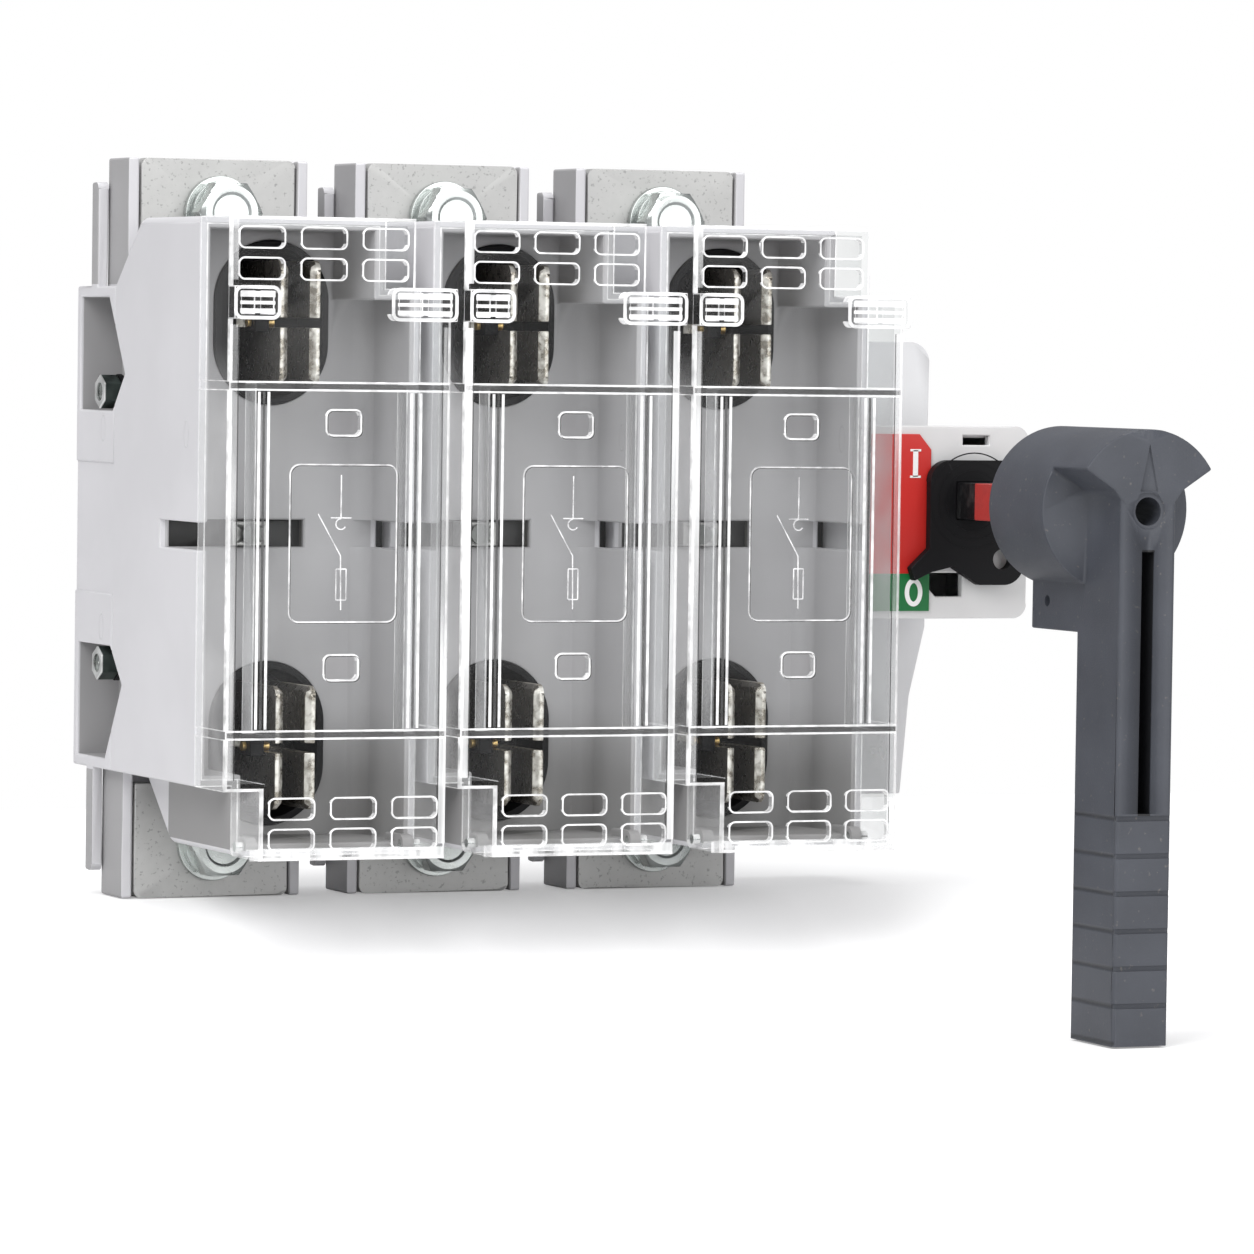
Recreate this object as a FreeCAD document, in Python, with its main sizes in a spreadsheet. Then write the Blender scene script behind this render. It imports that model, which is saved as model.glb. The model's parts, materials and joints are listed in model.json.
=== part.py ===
import FreeCAD, Part
import math
import os
import Sketcher

# Fuse switch disconnector with three poles, a side mechanism and a pistol handle.
# Frame: origin in the middle of the four mounting inserts, on the mounting plane Y = 0.
# The front faces -Y, +Z is up and the poles stand side by side along X.

os.makedirs("parts", exist_ok=True)
doc = FreeCAD.newDocument("FuseSwitch")
Vec = FreeCAD.Vector
Turn = FreeCAD.Rotation

# Driving dimensions, in millimetres

SIZES = (
    ("pole_pitch", 65.0), ("pole_width", 61.5), ("core_height", 130.0), ("tab_height", 18.0),
    ("corner_step", 10.0), ("base_depth", 31.0), ("tab_slope", 22.0), ("rim_depth", 97.5),
    ("floor_depth", 68.0), ("floor_thickness", 4.0), ("wall", 3.0), ("pocket_depth", 12.0),
    ("slot_height", 7.2), ("slot_end", 10.0), ("jaw_centre", 55.75), ("shroud_height", 43.5),
    ("shroud_width", 32.0), ("shroud_wall", 2.0), ("shroud_depth", 18.0), ("shroud_lip", 1.0),
    ("tongue_width", 51.3), ("tongue_height", 34.5), ("tongue_front", 25.5), ("tongue_back", 14.0),
    ("rail_width", 3.2), ("plate_thickness", 5.0), ("plate_gap", 0.5), ("tail_width", 16.0),
    ("terminal_shift", 1.5), ("panel_height", 35.0), ("panel_depth", 0.6),
    ("rib_width", 3.0), ("rib_front", 16.4), ("rib_back", 11.0), ("rib_height", 28.0),
    ("bolt_height", 85.0), ("bolt_size", 10.0), ("bolt_flats", 16.0), ("bolt_head", 6.4),
    ("nut_thickness", 8.0), ("washer_size", 20.0), ("washer_thickness", 2.0),
    ("spring_washer_size", 17.6), ("spring_washer_thickness", 2.5), ("hole_play", 0.5),
    ("jaw_plate", 2.6), ("jaw_gap", 6.0), ("jaw_height", 32.5), ("jaw_slit", 2.5),
    ("jaw_front", 90.0), ("jaw_heel", 52.0), ("jaw_screw", 6.0), ("jaw_screw_height", 44.0),
    ("insert_spacing_x", 130.0), ("insert_spacing_z", 110.0), ("insert_size", 9.0),
    ("insert_bore", 6.0), ("insert_length", 12.0),
    ("tie_height", 36.6), ("tie_depth", 19.0), ("tie_size", 5.0), ("tie_flats", 8.0),
    ("tie_nut", 5.0), ("tie_washer", 1.2), ("tie_washer_size", 9.6), ("tie_sleeve", 9.0),
    ("cover_front", 120.0), ("cover_wall", 2.0), ("rim_gap", 0.3), ("vent_width", 12.0),
    ("vent_height", 5.0), ("vent_pitch", 17.0), ("vent_row", 8.0), ("vent_corner", 1.4),
    ("window_width", 9.0),
    ("window_height", 6.0), ("window_spacing", 63.2), ("window_drop", 1.5),
    ("window_side", 1.0), ("grip_height", 8.5), ("grip_depth", 4.0), ("grip_left", 12.5),
    ("grip_right", 18.2), ("rail_rib", 3.0), ("rail_rib_depth", 8.0),
    ("band_height", 2.0), ("band_depth", 0.4), ("band_top", 40.4), ("band_bottom", 49.4),
    ("hinge_depth", 101.0), ("hinge_drop", 2.5), ("hinge_pin", 2.5), ("hinge_ear", 3.0),
    ("hinge_play", 0.4), ("hinge_fit", 0.05),
    ("mech_width", 45.4), ("mech_top", 53.0), ("mech_bottom", 74.0), ("mech_depth", 35.0),
    ("mech_face", 90.0), ("mech_wall", 2.0), ("mech_plate", 3.0), ("mech_lip", 3.8),
    ("mech_box_top", 29.0), ("mech_box_bottom", 21.0), ("mech_gap", 0.1),
    ("shaft_offset", 30.75), ("shaft_height", 10.0), ("shaft_size", 10.0), ("shaft_tip", 178.0),
    ("rotor_front", 94.2), ("rotor_thickness", 3.0), ("rotor_hub", 14.6), ("hub_play", 0.15),
    ("crank_size", 24.0), ("crank_front", 85.0), ("crank_back", 70.0), ("crank_radius", 7.5),
    ("crank_pin", 5.0), ("pin_play", 0.4), ("strip_width", 18.0), ("strip_thickness", 0.6),
    ("bar_front", 62.0), ("bar_thickness", 4.0), ("bar_height", 10.0), ("yoke_front", 66.0),
    ("yoke_width", 12.0), ("lug_width", 10.5), ("lug_front", 72.0), ("bar_play", 0.5),
    ("handle_back", 146.0), ("handle_hub_front", 177.5), ("handle_front", 196.5),
    ("hub_size", 42.6), ("arm_width", 16.0), ("arm_depth", 24.5), ("arm_length", 139.0),
    ("arm_slot_width", 3.7), ("arm_slot_top", 10.5), ("arm_slot_bottom", 78.5),
    ("arm_slot_depth", 14.0), ("grip_pitch", 9.75), ("grip_groove", 1.4), ("grip_first", 79.0),
    ("front_hole", 7.4), ("lock_screw", 5.0),
)

sheet = doc.addObject("Spreadsheet::Sheet", "Sizes")
for row, (alias, value) in enumerate(SIZES, 1):
    sheet.set("A%d" % row, alias)
    sheet.set("B%d" % row, str(value))
    sheet.setAlias("B%d" % row, alias)
doc.recompute()


class Dim:
    """A length of the sheet, or a sum, difference or multiple of such lengths."""

    def __init__(self, value, text):
        self.value = value
        self.text = text

    def __add__(self, other):
        other = dim(other)
        return Dim(self.value + other.value, "(%s + %s)" % (self.text, other.text))

    def __sub__(self, other):
        other = dim(other)
        return Dim(self.value - other.value, "(%s - %s)" % (self.text, other.text))

    def __mul__(self, factor):
        return Dim(self.value * factor, "(%s * %r)" % (self.text, factor))

    def __truediv__(self, divisor):
        return Dim(self.value / divisor, "(%s / %r)" % (self.text, divisor))

    def __neg__(self):
        return Dim(-self.value, "(-%s)" % self.text)

    __radd__ = __add__
    __rmul__ = __mul__


def dim(value):
    return value if isinstance(value, Dim) else Dim(float(value), repr(float(value)))


class Sizes:
    """The cells of the sheet by name, each as a Dim."""

    def __getattr__(self, name):
        return Dim(float(sheet.get(name)), "Sizes.%s" % name)


size = Sizes()


# Sketches and features of the moulded and pressed pieces

def bind(thing, name, length):
    length = dim(length)
    setattr(thing, name, length.value)
    thing.setExpression(name, length.text)


def move(thing, x=0.0, y=0.0, z=0.0, turn=None):
    x, y, z = dim(x), dim(y), dim(z)
    thing.Placement = FreeCAD.Placement(Vec(x.value, y.value, z.value), turn or Turn())
    for axis, length in (("x", x), ("y", y), ("z", z)):
        thing.setExpression("Placement.Base.%s" % axis, length.text)
    return thing


def new_body(label):
    body = doc.addObject("PartDesign::Body", "Body_" + label)
    body.Label = label
    return body


def sketch_on(body, role, height=0.0):
    height = dim(height)
    sketch = body.newObject("Sketcher::SketchObject", "Sketch")
    plane = next(item for item in body.Origin.OriginFeatures if item.Role == role)
    sketch.AttachmentSupport = [(plane, "")]
    sketch.MapMode = "FlatFace"
    sketch.AttachmentOffset = FreeCAD.Placement(Vec(0, 0, height.value), Turn())
    sketch.setExpression("AttachmentOffset.Base.z", height.text)
    return sketch


def place_point(sketch, element, point, x, y):
    for kind, length, axis in (("DistanceX", dim(x), -2), ("DistanceY", dim(y), -1)):
        if length.value == 0.0:
            sketch.addConstraint(Sketcher.Constraint("PointOnObject", element, point, axis))
        else:
            index = sketch.addConstraint(
                Sketcher.Constraint(kind, -1, 1, element, point, length.value))
            sketch.setExpression("Constraints[%d]" % index, length.text)


def polygon(sketch, points):
    first, count = sketch.GeometryCount, len(points)
    corners = [Vec(dim(x).value, dim(y).value, 0) for x, y in points]
    for index in range(count):
        sketch.addGeometry(Part.LineSegment(corners[index], corners[(index + 1) % count]))
    for index in range(count):
        following = first + (index + 1) % count
        sketch.addConstraint(Sketcher.Constraint("Coincident", first + index, 2, following, 1))
    for index, (x, y) in enumerate(points):
        place_point(sketch, first + index, 1, x, y)
    return sketch


def rectangle(sketch, x0, x1, y0, y1):
    return polygon(sketch, [(x0, y0), (x1, y0), (x1, y1), (x0, y1)])


def circle(sketch, x, y, diameter):
    x, y, diameter = dim(x), dim(y), dim(diameter)
    ring = Part.Circle(Vec(x.value, y.value, 0), Vec(0, 0, 1), diameter.value / 2)
    element = sketch.addGeometry(ring)
    place_point(sketch, element, 3, x, y)
    index = sketch.addConstraint(Sketcher.Constraint("Diameter", element, diameter.value))
    sketch.setExpression("Constraints[%d]" % index, diameter.text)
    return sketch


def racetrack(sketch, x, y0, y1, width):
    """An upright slot with round ends between the heights y0 and y1."""
    x, y0, y1, width = dim(x), dim(y0), dim(y1), dim(width)
    radius = width.value / 2
    low, high = y0 + width / 2, y1 - width / 2
    first = sketch.GeometryCount
    for centre, start in ((high, 0.0), (low, math.pi)):
        ring = Part.Circle(Vec(x.value, centre.value, 0), Vec(0, 0, 1), radius)
        sketch.addGeometry(Part.ArcOfCircle(ring, start, start + math.pi))
    left, right = x.value - radius, x.value + radius
    sketch.addGeometry(Part.LineSegment(Vec(left, high.value, 0), Vec(left, low.value, 0)))
    sketch.addGeometry(Part.LineSegment(Vec(right, low.value, 0), Vec(right, high.value, 0)))
    for line, end, arc, start in ((2, 1, 0, 2), (2, 2, 1, 1), (3, 1, 1, 2), (3, 2, 0, 1)):
        sketch.addConstraint(
            Sketcher.Constraint("Tangent", first + arc, start, first + line, end))
    sketch.addConstraint(Sketcher.Constraint("Equal", first, first + 1))
    place_point(sketch, first, 3, x, high)
    place_point(sketch, first + 1, 3, x, low)
    index = sketch.addConstraint(Sketcher.Constraint("Diameter", first, width.value))
    sketch.setExpression("Constraints[%d]" % index, width.text)
    return sketch


def feature(body, kind, sketch, length=None, back=False, both=False):
    """A pad along the sketch's normal, or a pocket against it; back turns either round."""
    item = body.newObject("PartDesign::" + kind, kind)
    item.Profile = sketch
    item.Reversed = back
    if length is None:
        item.Type = "ThroughAll"
    else:
        bind(item, "Length", length)
    if both:
        item.SideType = "Symmetric"
    sketch.Visibility = False
    doc.recompute()
    return item


def pad(body, sketch, length, back=False, both=False):
    return feature(body, "Pad", sketch, length, back, both)


def pocket(body, sketch, length=None, back=False, both=False):
    before = body.Shape.Volume
    item = feature(body, "Pocket", sketch, length, back, both)
    if not item.Shape.Volume < before - 0.01:
        raise RuntimeError("%s: a pocket removed nothing" % body.Label)
    return item


def dress(body, kind, amount, chosen):
    """Round or chamfer the edges of the body whose middle point the rule accepts."""
    tip = body.Tip
    names = []
    for index, edge in enumerate(tip.Shape.Edges, 1):
        middle = edge.valueAt((edge.FirstParameter + edge.LastParameter) / 2)
        if chosen(edge, middle):
            names.append("Edge%d" % index)
    if not names:
        raise RuntimeError("%s: no edge to round" % body.Label)
    item = body.newObject("PartDesign::" + kind, kind)
    item.Base = (tip, names)
    bind(item, "Radius" if kind == "Fillet" else "Size", amount)
    doc.recompute()
    if not item.isValid():
        raise RuntimeError("%s: %s of %d edges failed" % (body.Label, kind, len(names)))
    return item


def runs_along(edge, axis):
    if edge.Curve.TypeId != "Part::GeomLine":
        return False
    direction = edge.Curve.Direction
    return abs(abs(getattr(direction, axis)) - 1.0) < 1e-6


def near(a, b, tolerance=0.02):
    return abs(a - dim(b).value) < tolerance


# Turned, bent and cut pieces from primitives

ALONG_FRONT = Turn(Vec(1, 0, 0), 90)
ALONG_X = Turn(Vec(0, 1, 0), 90)


def box(x0, x1, y0, y1, z0, z1):
    item = doc.addObject("Part::Box", "Box")
    for name, low, high in (("Length", x0, x1), ("Width", y0, y1), ("Height", z0, z1)):
        bind(item, name, dim(high) - low)
    return move(item, x0, y0, z0)


def rod(diameter, length, x, y, z, turn=ALONG_FRONT):
    item = doc.addObject("Part::Cylinder", "Rod")
    bind(item, "Radius", dim(diameter) / 2)
    bind(item, "Height", length)
    return move(item, x, y, z, turn)


def hexagon(flats, length, x, y, z, turn=ALONG_FRONT):
    item = doc.addObject("Part::Prism", "Hexagon")
    item.Polygon = 6
    bind(item, "Circumradius", dim(flats) / math.sqrt(3))
    bind(item, "Height", length)
    return move(item, x, y, z, turn)


def fuse(*shapes):
    item = doc.addObject("Part::MultiFuse", "Joined")
    item.Shapes = list(shapes)
    return item


def cut(base, tool):
    item = doc.addObject("Part::Cut", "Cut")
    item.Base = base
    item.Tool = tool
    return item


def ring(outer, inner, length, x, y, z, turn=ALONG_FRONT):
    return cut(rod(outer, length, x, y, z, turn), rod(inner, length, x, y, z, turn))


def group(label, shapes):
    item = doc.addObject("Part::Compound", "Group")
    item.Links = list(shapes)
    item.Label = label
    return item


nodes = []


def keep(item, label=None):
    if label:
        item.Label = label
    nodes.append(item)
    return item


# Places that several pieces share

half = size.pole_width / 2
core = size.core_height / 2
top = core + size.tab_height
behind_floor = size.floor_depth - size.floor_thickness
plate_front = size.tongue_front + size.plate_thickness
jaw_low = size.jaw_centre - size.jaw_height / 2
jaw_high = size.jaw_centre + size.jaw_height / 2
shroud_low = size.jaw_centre - size.shroud_height / 2
shroud_high = shroud_low + size.shroud_height
shroud_back = size.floor_depth - size.shroud_depth
mech_left = size.pole_pitch * 1.5 + (size.pole_pitch - size.pole_width) / 2 + size.mech_gap
mech_right = mech_left + size.mech_width
shaft_x = size.pole_pitch * 1.5 + (size.pole_pitch - size.pole_width) / 2 + size.shaft_offset
hinge_z = -top + size.hinge_drop
crank_half = size.crank_radius * math.sqrt(0.5)
bar_back = size.bar_front - size.bar_thickness
left_ear = -half + size.corner_step + size.cover_wall + size.hinge_play
right_ear = half - size.cover_wall - size.hinge_play - size.hinge_ear
SIDES = ((1, "upper"), (-1, "lower"))


def pole_x(index):
    return size.pole_pitch * (index - 2)


def bolt_x(index):
    return pole_x(index) - size.terminal_shift


def stepped_outline(sketch, inset):
    """The pole's front outline, turned half round about its centre onto itself."""
    inset = dim(inset)
    side, corner, low, high = half - inset, size.corner_step + inset, core - inset, top - inset
    polygon(sketch, [
        (-side, -low), (-side, high), (half - corner, high), (half - corner, low),
        (side, low), (side, -high), (corner - half, -high), (corner - half, -low)])
    return sketch


# Pole base: a hollow block with terminal tongues, barrier ribs and tie rod pockets

def tie_pocket(sketch, sign):
    deep, shallow = size.base_depth + 8.0, size.base_depth - 5.2
    polygon(sketch, [
        (dim(-3), (core - size.wall) * sign), (-shallow, (core - size.wall) * sign),
        (-deep, (size.tie_height + 5) * sign), (-shallow - 3.5, (size.tie_height - 5.0) * sign),
        (dim(-3), (size.tie_height - 5.0) * sign)])


def tie_pockets(body):
    sketch = sketch_on(body, "YZ_Plane", -half)
    for sign in (1, -1):
        tie_pocket(sketch, sign)
    pocket(body, sketch, size.pocket_depth, back=True)


def pole_base(index):
    body = new_body("pole_base_%d" % index)
    plan = "XZ_Plane"
    inner = half - size.wall
    far = half + size.pole_pitch - size.pole_width
    pad(body, rectangle(sketch_on(body, plan), -half, far, -core, core), size.base_depth)
    hollow = sketch_on(body, plan)
    rectangle(hollow, size.pocket_depth - inner, inner, size.wall - core, core - size.wall)
    pocket(body, hollow, None, back=True)

    # terminal tongues with side rails, and the barrier ribs beside them
    for sign, name in SIDES:
        wide = size.tongue_width / 2
        outer = (core + size.tongue_height) * sign
        tongue = sketch_on(body, plan, size.tongue_back)
        left, right = -wide - size.terminal_shift, wide - size.terminal_shift
        rectangle(tongue, left, right, (core - 1) * sign, outer)
        pad(body, tongue, size.tongue_front - size.tongue_back)
        rails = sketch_on(body, plan, size.tongue_back)
        rectangle(rails, left, left + size.rail_width, (core - 1) * sign, outer)
        rectangle(rails, right - size.rail_width, right, (core - 1) * sign, outer)
        pad(body, rails, plate_front - size.tongue_back)
        rib = sketch_on(body, plan, size.rib_back)
        rectangle(rib, -half, size.rib_width - half, (core - 1) * sign,
                  (core + size.rib_height) * sign)
        pad(body, rib, size.rib_front - size.rib_back)
    rib_end = core + size.rib_height
    dress(body, "Fillet", 2.0, lambda edge, at: runs_along(edge, "x") and (
        near(abs(at.z), rib_end) and near(at.y, -size.rib_front)))

    # blocks that carry the inserts and the tails of the terminal plates
    for sign, name in SIDES:
        block = sketch_on(body, plan)
        rectangle(block, -size.tail_width / 2, size.tail_width / 2,
                  (size.insert_spacing_z / 2 - 6) * sign, (core - size.wall / 2) * sign)
        pad(body, block, size.tongue_front)
        tail = sketch_on(body, plan, size.tongue_front)
        rectangle(tail, -size.tail_width / 2 - 0.2, size.tail_width / 2 + 0.2,
                  (core - size.wall - 1) * sign, (core + size.wall) * sign)
        pocket(body, tail, size.base_depth - size.tongue_front, back=True)
        hole = sketch_on(body, plan, size.tongue_back)
        circle(hole, -size.terminal_shift, size.bolt_height * sign,
               size.bolt_size + 2 * size.hole_play)
        pocket(body, hole, size.tongue_front - size.tongue_back, back=True)

    # tie rod pockets on the left with their sleeves, the sunk middle of that side, the rod bores
    tie_pockets(body)
    panel = sketch_on(body, "YZ_Plane", -half)
    rectangle(panel, -size.base_depth - 1, dim(1), -size.panel_height / 2,
              size.panel_height / 2)
    pocket(body, panel, size.panel_depth, back=True)
    sleeves = sketch_on(body, "YZ_Plane", size.pocket_depth - half)
    for sign in (1, -1):
        circle(sleeves, -size.tie_depth, size.tie_height * sign, size.tie_sleeve)
    pad(body, sleeves, size.pocket_depth - size.tie_nut - size.tie_washer, back=True)
    bores = sketch_on(body, "YZ_Plane")
    for sign in (1, -1):
        circle(bores, -size.tie_depth, size.tie_height * sign, size.tie_size + 0.2)
    pocket(body, bores, None, both=True)

    # bores for the mounting inserts of the two outer poles
    if index != 2:
        inserts = sketch_on(body, plan)
        for sign in (1, -1):
            circle(inserts, 0, size.insert_spacing_z / 2 * sign, size.insert_size)
        pocket(body, inserts, size.insert_length, back=True)
    move(body, pole_x(index))
    return body


# Pole housing: the stepped chamber in front of the base, with a floor that carries the openings

def pole_housing(index):
    body = new_body("pole_housing_%d" % index)
    plan = "XZ_Plane"
    inner = half - size.wall
    pad(body, stepped_outline(sketch_on(body, plan, size.base_depth), 0),
        size.rim_depth - size.base_depth)
    slope = sketch_on(body, "YZ_Plane")
    for sign in (1, -1):
        polygon(slope, [(-size.base_depth, core * sign), (-size.base_depth, (top + 1) * sign),
                        (-size.base_depth - size.tab_slope, (top + 1) * sign),
                        (-size.base_depth - size.tab_slope, top * sign)])
    pocket(body, slope, None, both=True)
    dress(body, "Fillet", 2.0, lambda edge, at: runs_along(edge, "y") and at.y < -60 and (
        near(abs(at.z), top)))

    # chamber behind the cover, with its round inner corners
    pocket(body, stepped_outline(sketch_on(body, plan, size.rim_depth), size.wall),
           size.rim_depth - size.floor_depth)
    dress(body, "Fillet", 5.0, lambda edge, at: runs_along(edge, "z") and (
        near(at.x, half - size.wall) and near(at.y, -size.floor_depth)))

    # hollow behind the floor, narrower beside the tie rod pockets
    narrow = sketch_on(body, plan, size.base_depth)
    rectangle(narrow, size.pocket_depth - inner, inner, size.wall - core, core - size.wall)
    pocket(body, narrow, 10, back=True)
    deep = sketch_on(body, plan, size.base_depth + 10)
    rectangle(deep, -inner, inner, size.wall - core, core - size.wall)
    pocket(body, deep, behind_floor - size.base_depth - 10, back=True)
    tie_pockets(body)

    # openings of the chamber floor for the jaws, the drive lug and the bar
    for sign, name in SIDES:
        opening = sketch_on(body, plan, size.floor_depth)
        ends = sorted((shroud_low * sign, shroud_high * sign), key=lambda end: end.value)
        racetrack(opening, 0, ends[0], ends[1], size.shroud_width)
        pocket(body, opening, size.shroud_depth)
    slot = sketch_on(body, plan, size.floor_depth)
    rectangle(slot, -inner, size.slot_end, -size.slot_height / 2, size.slot_height / 2)
    pocket(body, slot, size.floor_thickness)
    notch = sketch_on(body, "YZ_Plane")
    rectangle(notch, -size.rim_depth - 1, -size.floor_depth, -size.slot_height / 2,
              size.slot_height / 2)
    pocket(body, notch, None, both=True)
    way = sketch_on(body, "YZ_Plane")
    rectangle(way, -size.bar_front - size.bar_play, -bar_back + size.bar_play,
              -size.bar_height / 2 - size.bar_play, size.bar_height / 2 + size.bar_play)
    if index == 1:
        pocket(body, way, half + size.pole_pitch, back=True)
    else:
        pocket(body, way, None, both=True)

    # hinge ears inside the cover's lower end
    for left in (left_ear, right_ear):
        ear = sketch_on(body, "YZ_Plane", left)
        rectangle(ear, -size.hinge_depth - size.hinge_drop, dim(-90), -top,
                  size.hinge_drop * 2 - top)
        pad(body, ear, size.hinge_ear)
    ear_front = -size.hinge_depth - size.hinge_drop
    dress(body, "Fillet", size.hinge_drop - 0.01, lambda edge, at: runs_along(edge, "x") and (
        near(at.y, ear_front)))
    pins = sketch_on(body, "YZ_Plane")
    circle(pins, -size.hinge_depth, hinge_z, size.hinge_pin)
    pocket(body, pins, None, both=True)
    move(body, pole_x(index))
    return body


# Clear cover: a stepped box with vents, probe windows, finger grips and inner rails

def fuse_cover(index):
    body = new_body("fuse_cover_%d" % index)
    plan = "XZ_Plane"
    rear = size.rim_depth + size.rim_gap
    pad(body, stepped_outline(sketch_on(body, plan, rear), 0), size.cover_front - rear)
    dress(body, "Fillet", 1.2, lambda edge, at: near(at.y, -size.cover_front))
    pocket(body, stepped_outline(sketch_on(body, plan, rear), size.cover_wall),
           size.cover_front - size.cover_wall - rear, back=True)

    grips = sketch_on(body, plan, size.cover_front - 1)
    rectangle(grips, -half, size.grip_left - half, core - size.grip_height, core)
    rectangle(grips, half - size.grip_right, half, core - size.grip_height, core)
    pad(body, grips, size.grip_depth + 1)
    dress(body, "Fillet", 2.0, lambda edge, at: runs_along(edge, "y") and (
        at.y < -size.cover_front.value - 0.5 and abs(at.x) < half.value - 5))
    hollows = sketch_on(body, plan, size.cover_front + size.grip_depth)
    for left, width in ((-half, size.grip_left), (half - size.grip_right, size.grip_right)):
        cell = (width - size.cover_wall * 3) / 2
        for step in (0, 1):
            start = left + size.cover_wall + (cell + size.cover_wall) * step
            rectangle(hollows, start, start + cell, core - size.grip_height + 1.5, core - 1.5)
    pocket(body, hollows, size.grip_depth - 0.5)

    vents = sketch_on(body, plan, size.cover_front)
    for sign in (1, -1):
        for column in range(3):
            for row_number in range(2):
                across = (half - 2.8 - size.vent_width / 2 - size.vent_pitch * column) * -sign
                up = (top - 5.5 - size.vent_row * row_number) * sign
                rectangle(vents, across - size.vent_width / 2, across + size.vent_width / 2,
                          up - size.vent_height / 2, up + size.vent_height / 2)
        middle = size.window_spacing / 2 * sign - size.window_drop
        rectangle(vents, size.window_side - size.window_width / 2,
                  size.window_side + size.window_width / 2,
                  middle - size.window_height / 2, middle + size.window_height / 2)
    pocket(body, vents, size.cover_wall)
    dress(body, "Fillet", size.vent_corner, lambda edge, at: runs_along(edge, "y") and (
        near(at.y, size.cover_wall / 2 - size.cover_front)))

    # shallow bands across the front and round both sides
    low, face = half - size.band_depth, size.cover_front - size.band_depth
    for upper in (size.band_top, -size.band_bottom):
        band = sketch_on(body, "XY_Plane", upper)
        polygon(band, [(-half - 1, -rear + 1), (-half - 1, -size.cover_front - 1),
                       (half + 1, -size.cover_front - 1), (half + 1, -rear + 1),
                       (low, -rear + 1), (low, -face), (-low, -face), (-low, -rear + 1)])
        pocket(body, band, size.band_height)

    rails = sketch_on(body, plan, size.cover_front - size.cover_wall)
    for left in (dim(-22.5), dim(19.5)):
        rectangle(rails, left, left + size.rail_rib, -core + 14.5, core - 25)
    pad(body, rails, size.rail_rib_depth, back=True)

    # the bottom wall stops at the hinge line and lets the ears through
    trim = sketch_on(body, plan, rear)
    rectangle(trim, -half + size.corner_step + size.cover_wall, half - size.cover_wall,
              -top - 1, hinge_z)
    pocket(body, trim, size.hinge_depth - rear, back=True)
    ears = sketch_on(body, plan, size.hinge_depth)
    for left in (left_ear, right_ear):
        rectangle(ears, left - size.hinge_play, left + size.hinge_ear + size.hinge_play,
                  -top - 1, hinge_z + 1)
    pocket(body, ears, size.hinge_drop + 1, back=True)
    dress(body, "Fillet", size.hinge_drop - 0.01, lambda edge, at: runs_along(edge, "x") and (
        near(at.y, -rear) and near(at.z, -top)))
    pins = sketch_on(body, "YZ_Plane")
    circle(pins, -size.hinge_depth, hinge_z, size.hinge_pin + size.hinge_fit * 2)
    pocket(body, pins, None, both=True)
    move(body, pole_x(index))
    return body


# Terminal plate: a broad pad outside and a narrow tail that runs in to the jaw

def terminal_plate(index, sign, name):
    body = new_body("terminal_plate_%s_%d" % (name, index))
    wide = size.tongue_width / 2 - size.rail_width - size.plate_gap
    narrow = size.tail_width / 2
    shoulder, outer, inner = core + size.wall + 0.5, core + size.tongue_height, jaw_low + 1
    left, right = -wide - size.terminal_shift, wide - size.terminal_shift
    sketch = sketch_on(body, "XZ_Plane", size.tongue_front)
    polygon(sketch, [(left, outer * sign), (left, shoulder * sign), (-narrow, shoulder * sign),
                     (-narrow, inner * sign), (narrow, inner * sign), (narrow, shoulder * sign),
                     (right, shoulder * sign), (right, outer * sign)])
    pad(body, sketch, size.plate_thickness)
    dress(body, "Fillet", 2.2, lambda edge, at: runs_along(edge, "y") and (
        near(abs(at.z), outer)))
    holes = sketch_on(body, "XZ_Plane", plate_front)
    circle(holes, -size.terminal_shift, size.bolt_height * sign, size.bolt_size + size.hole_play)
    circle(holes, 0, size.jaw_screw_height * sign, size.jaw_screw + 0.4)
    pocket(body, holes, size.plate_thickness)
    move(body, pole_x(index))
    return body


# Fuse jaw: two plates, each slit into two fingers, on a heel that stands on the tail

def fuse_jaw(index, sign, name):
    body = new_body("fuse_jaw_%s_%d" % (name, index))
    side = size.jaw_gap / 2 + size.jaw_plate
    outline = sketch_on(body, "YZ_Plane")
    low, high = jaw_low * sign, jaw_high * sign
    heel_high = (core - size.wall - 1.5) * sign
    polygon(outline, [(-size.jaw_front, low), (-size.jaw_front, high), (-size.jaw_heel, high),
                      (-size.jaw_heel, heel_high), (-plate_front, heel_high),
                      (-plate_front, low + 2 * sign), (-size.jaw_heel, low + 2 * sign),
                      (-size.jaw_heel, low)])
    pad(body, outline, side * 2, both=True)
    mouth = sketch_on(body, "XZ_Plane", size.jaw_front)
    rectangle(mouth, -size.jaw_gap / 2, size.jaw_gap / 2, low - 2 * sign, high + 2 * sign)
    pocket(body, mouth, size.jaw_front - size.jaw_heel)
    slit = sketch_on(body, "YZ_Plane")
    middle = size.jaw_centre * sign
    rectangle(slit, -size.jaw_front - 1, -size.jaw_heel - 4,
              middle - size.jaw_slit / 2, middle + size.jaw_slit / 2)
    pocket(body, slit, None, both=True)
    dress(body, "Fillet", 3.0, lambda edge, at: runs_along(edge, "x") and (
        near(at.y, -size.jaw_front)) and (near(at.z, low) or near(at.z, high)))
    dress(body, "Chamfer", 1.4, lambda edge, at: runs_along(edge, "z") and (
        near(at.y, -size.jaw_front) and near(abs(at.x), size.jaw_gap / 2)))
    thread = sketch_on(body, "XZ_Plane", plate_front)
    circle(thread, 0, size.jaw_screw_height * sign, size.jaw_screw)
    pocket(body, thread, 12, back=True)
    move(body, pole_x(index))
    return body


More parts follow.
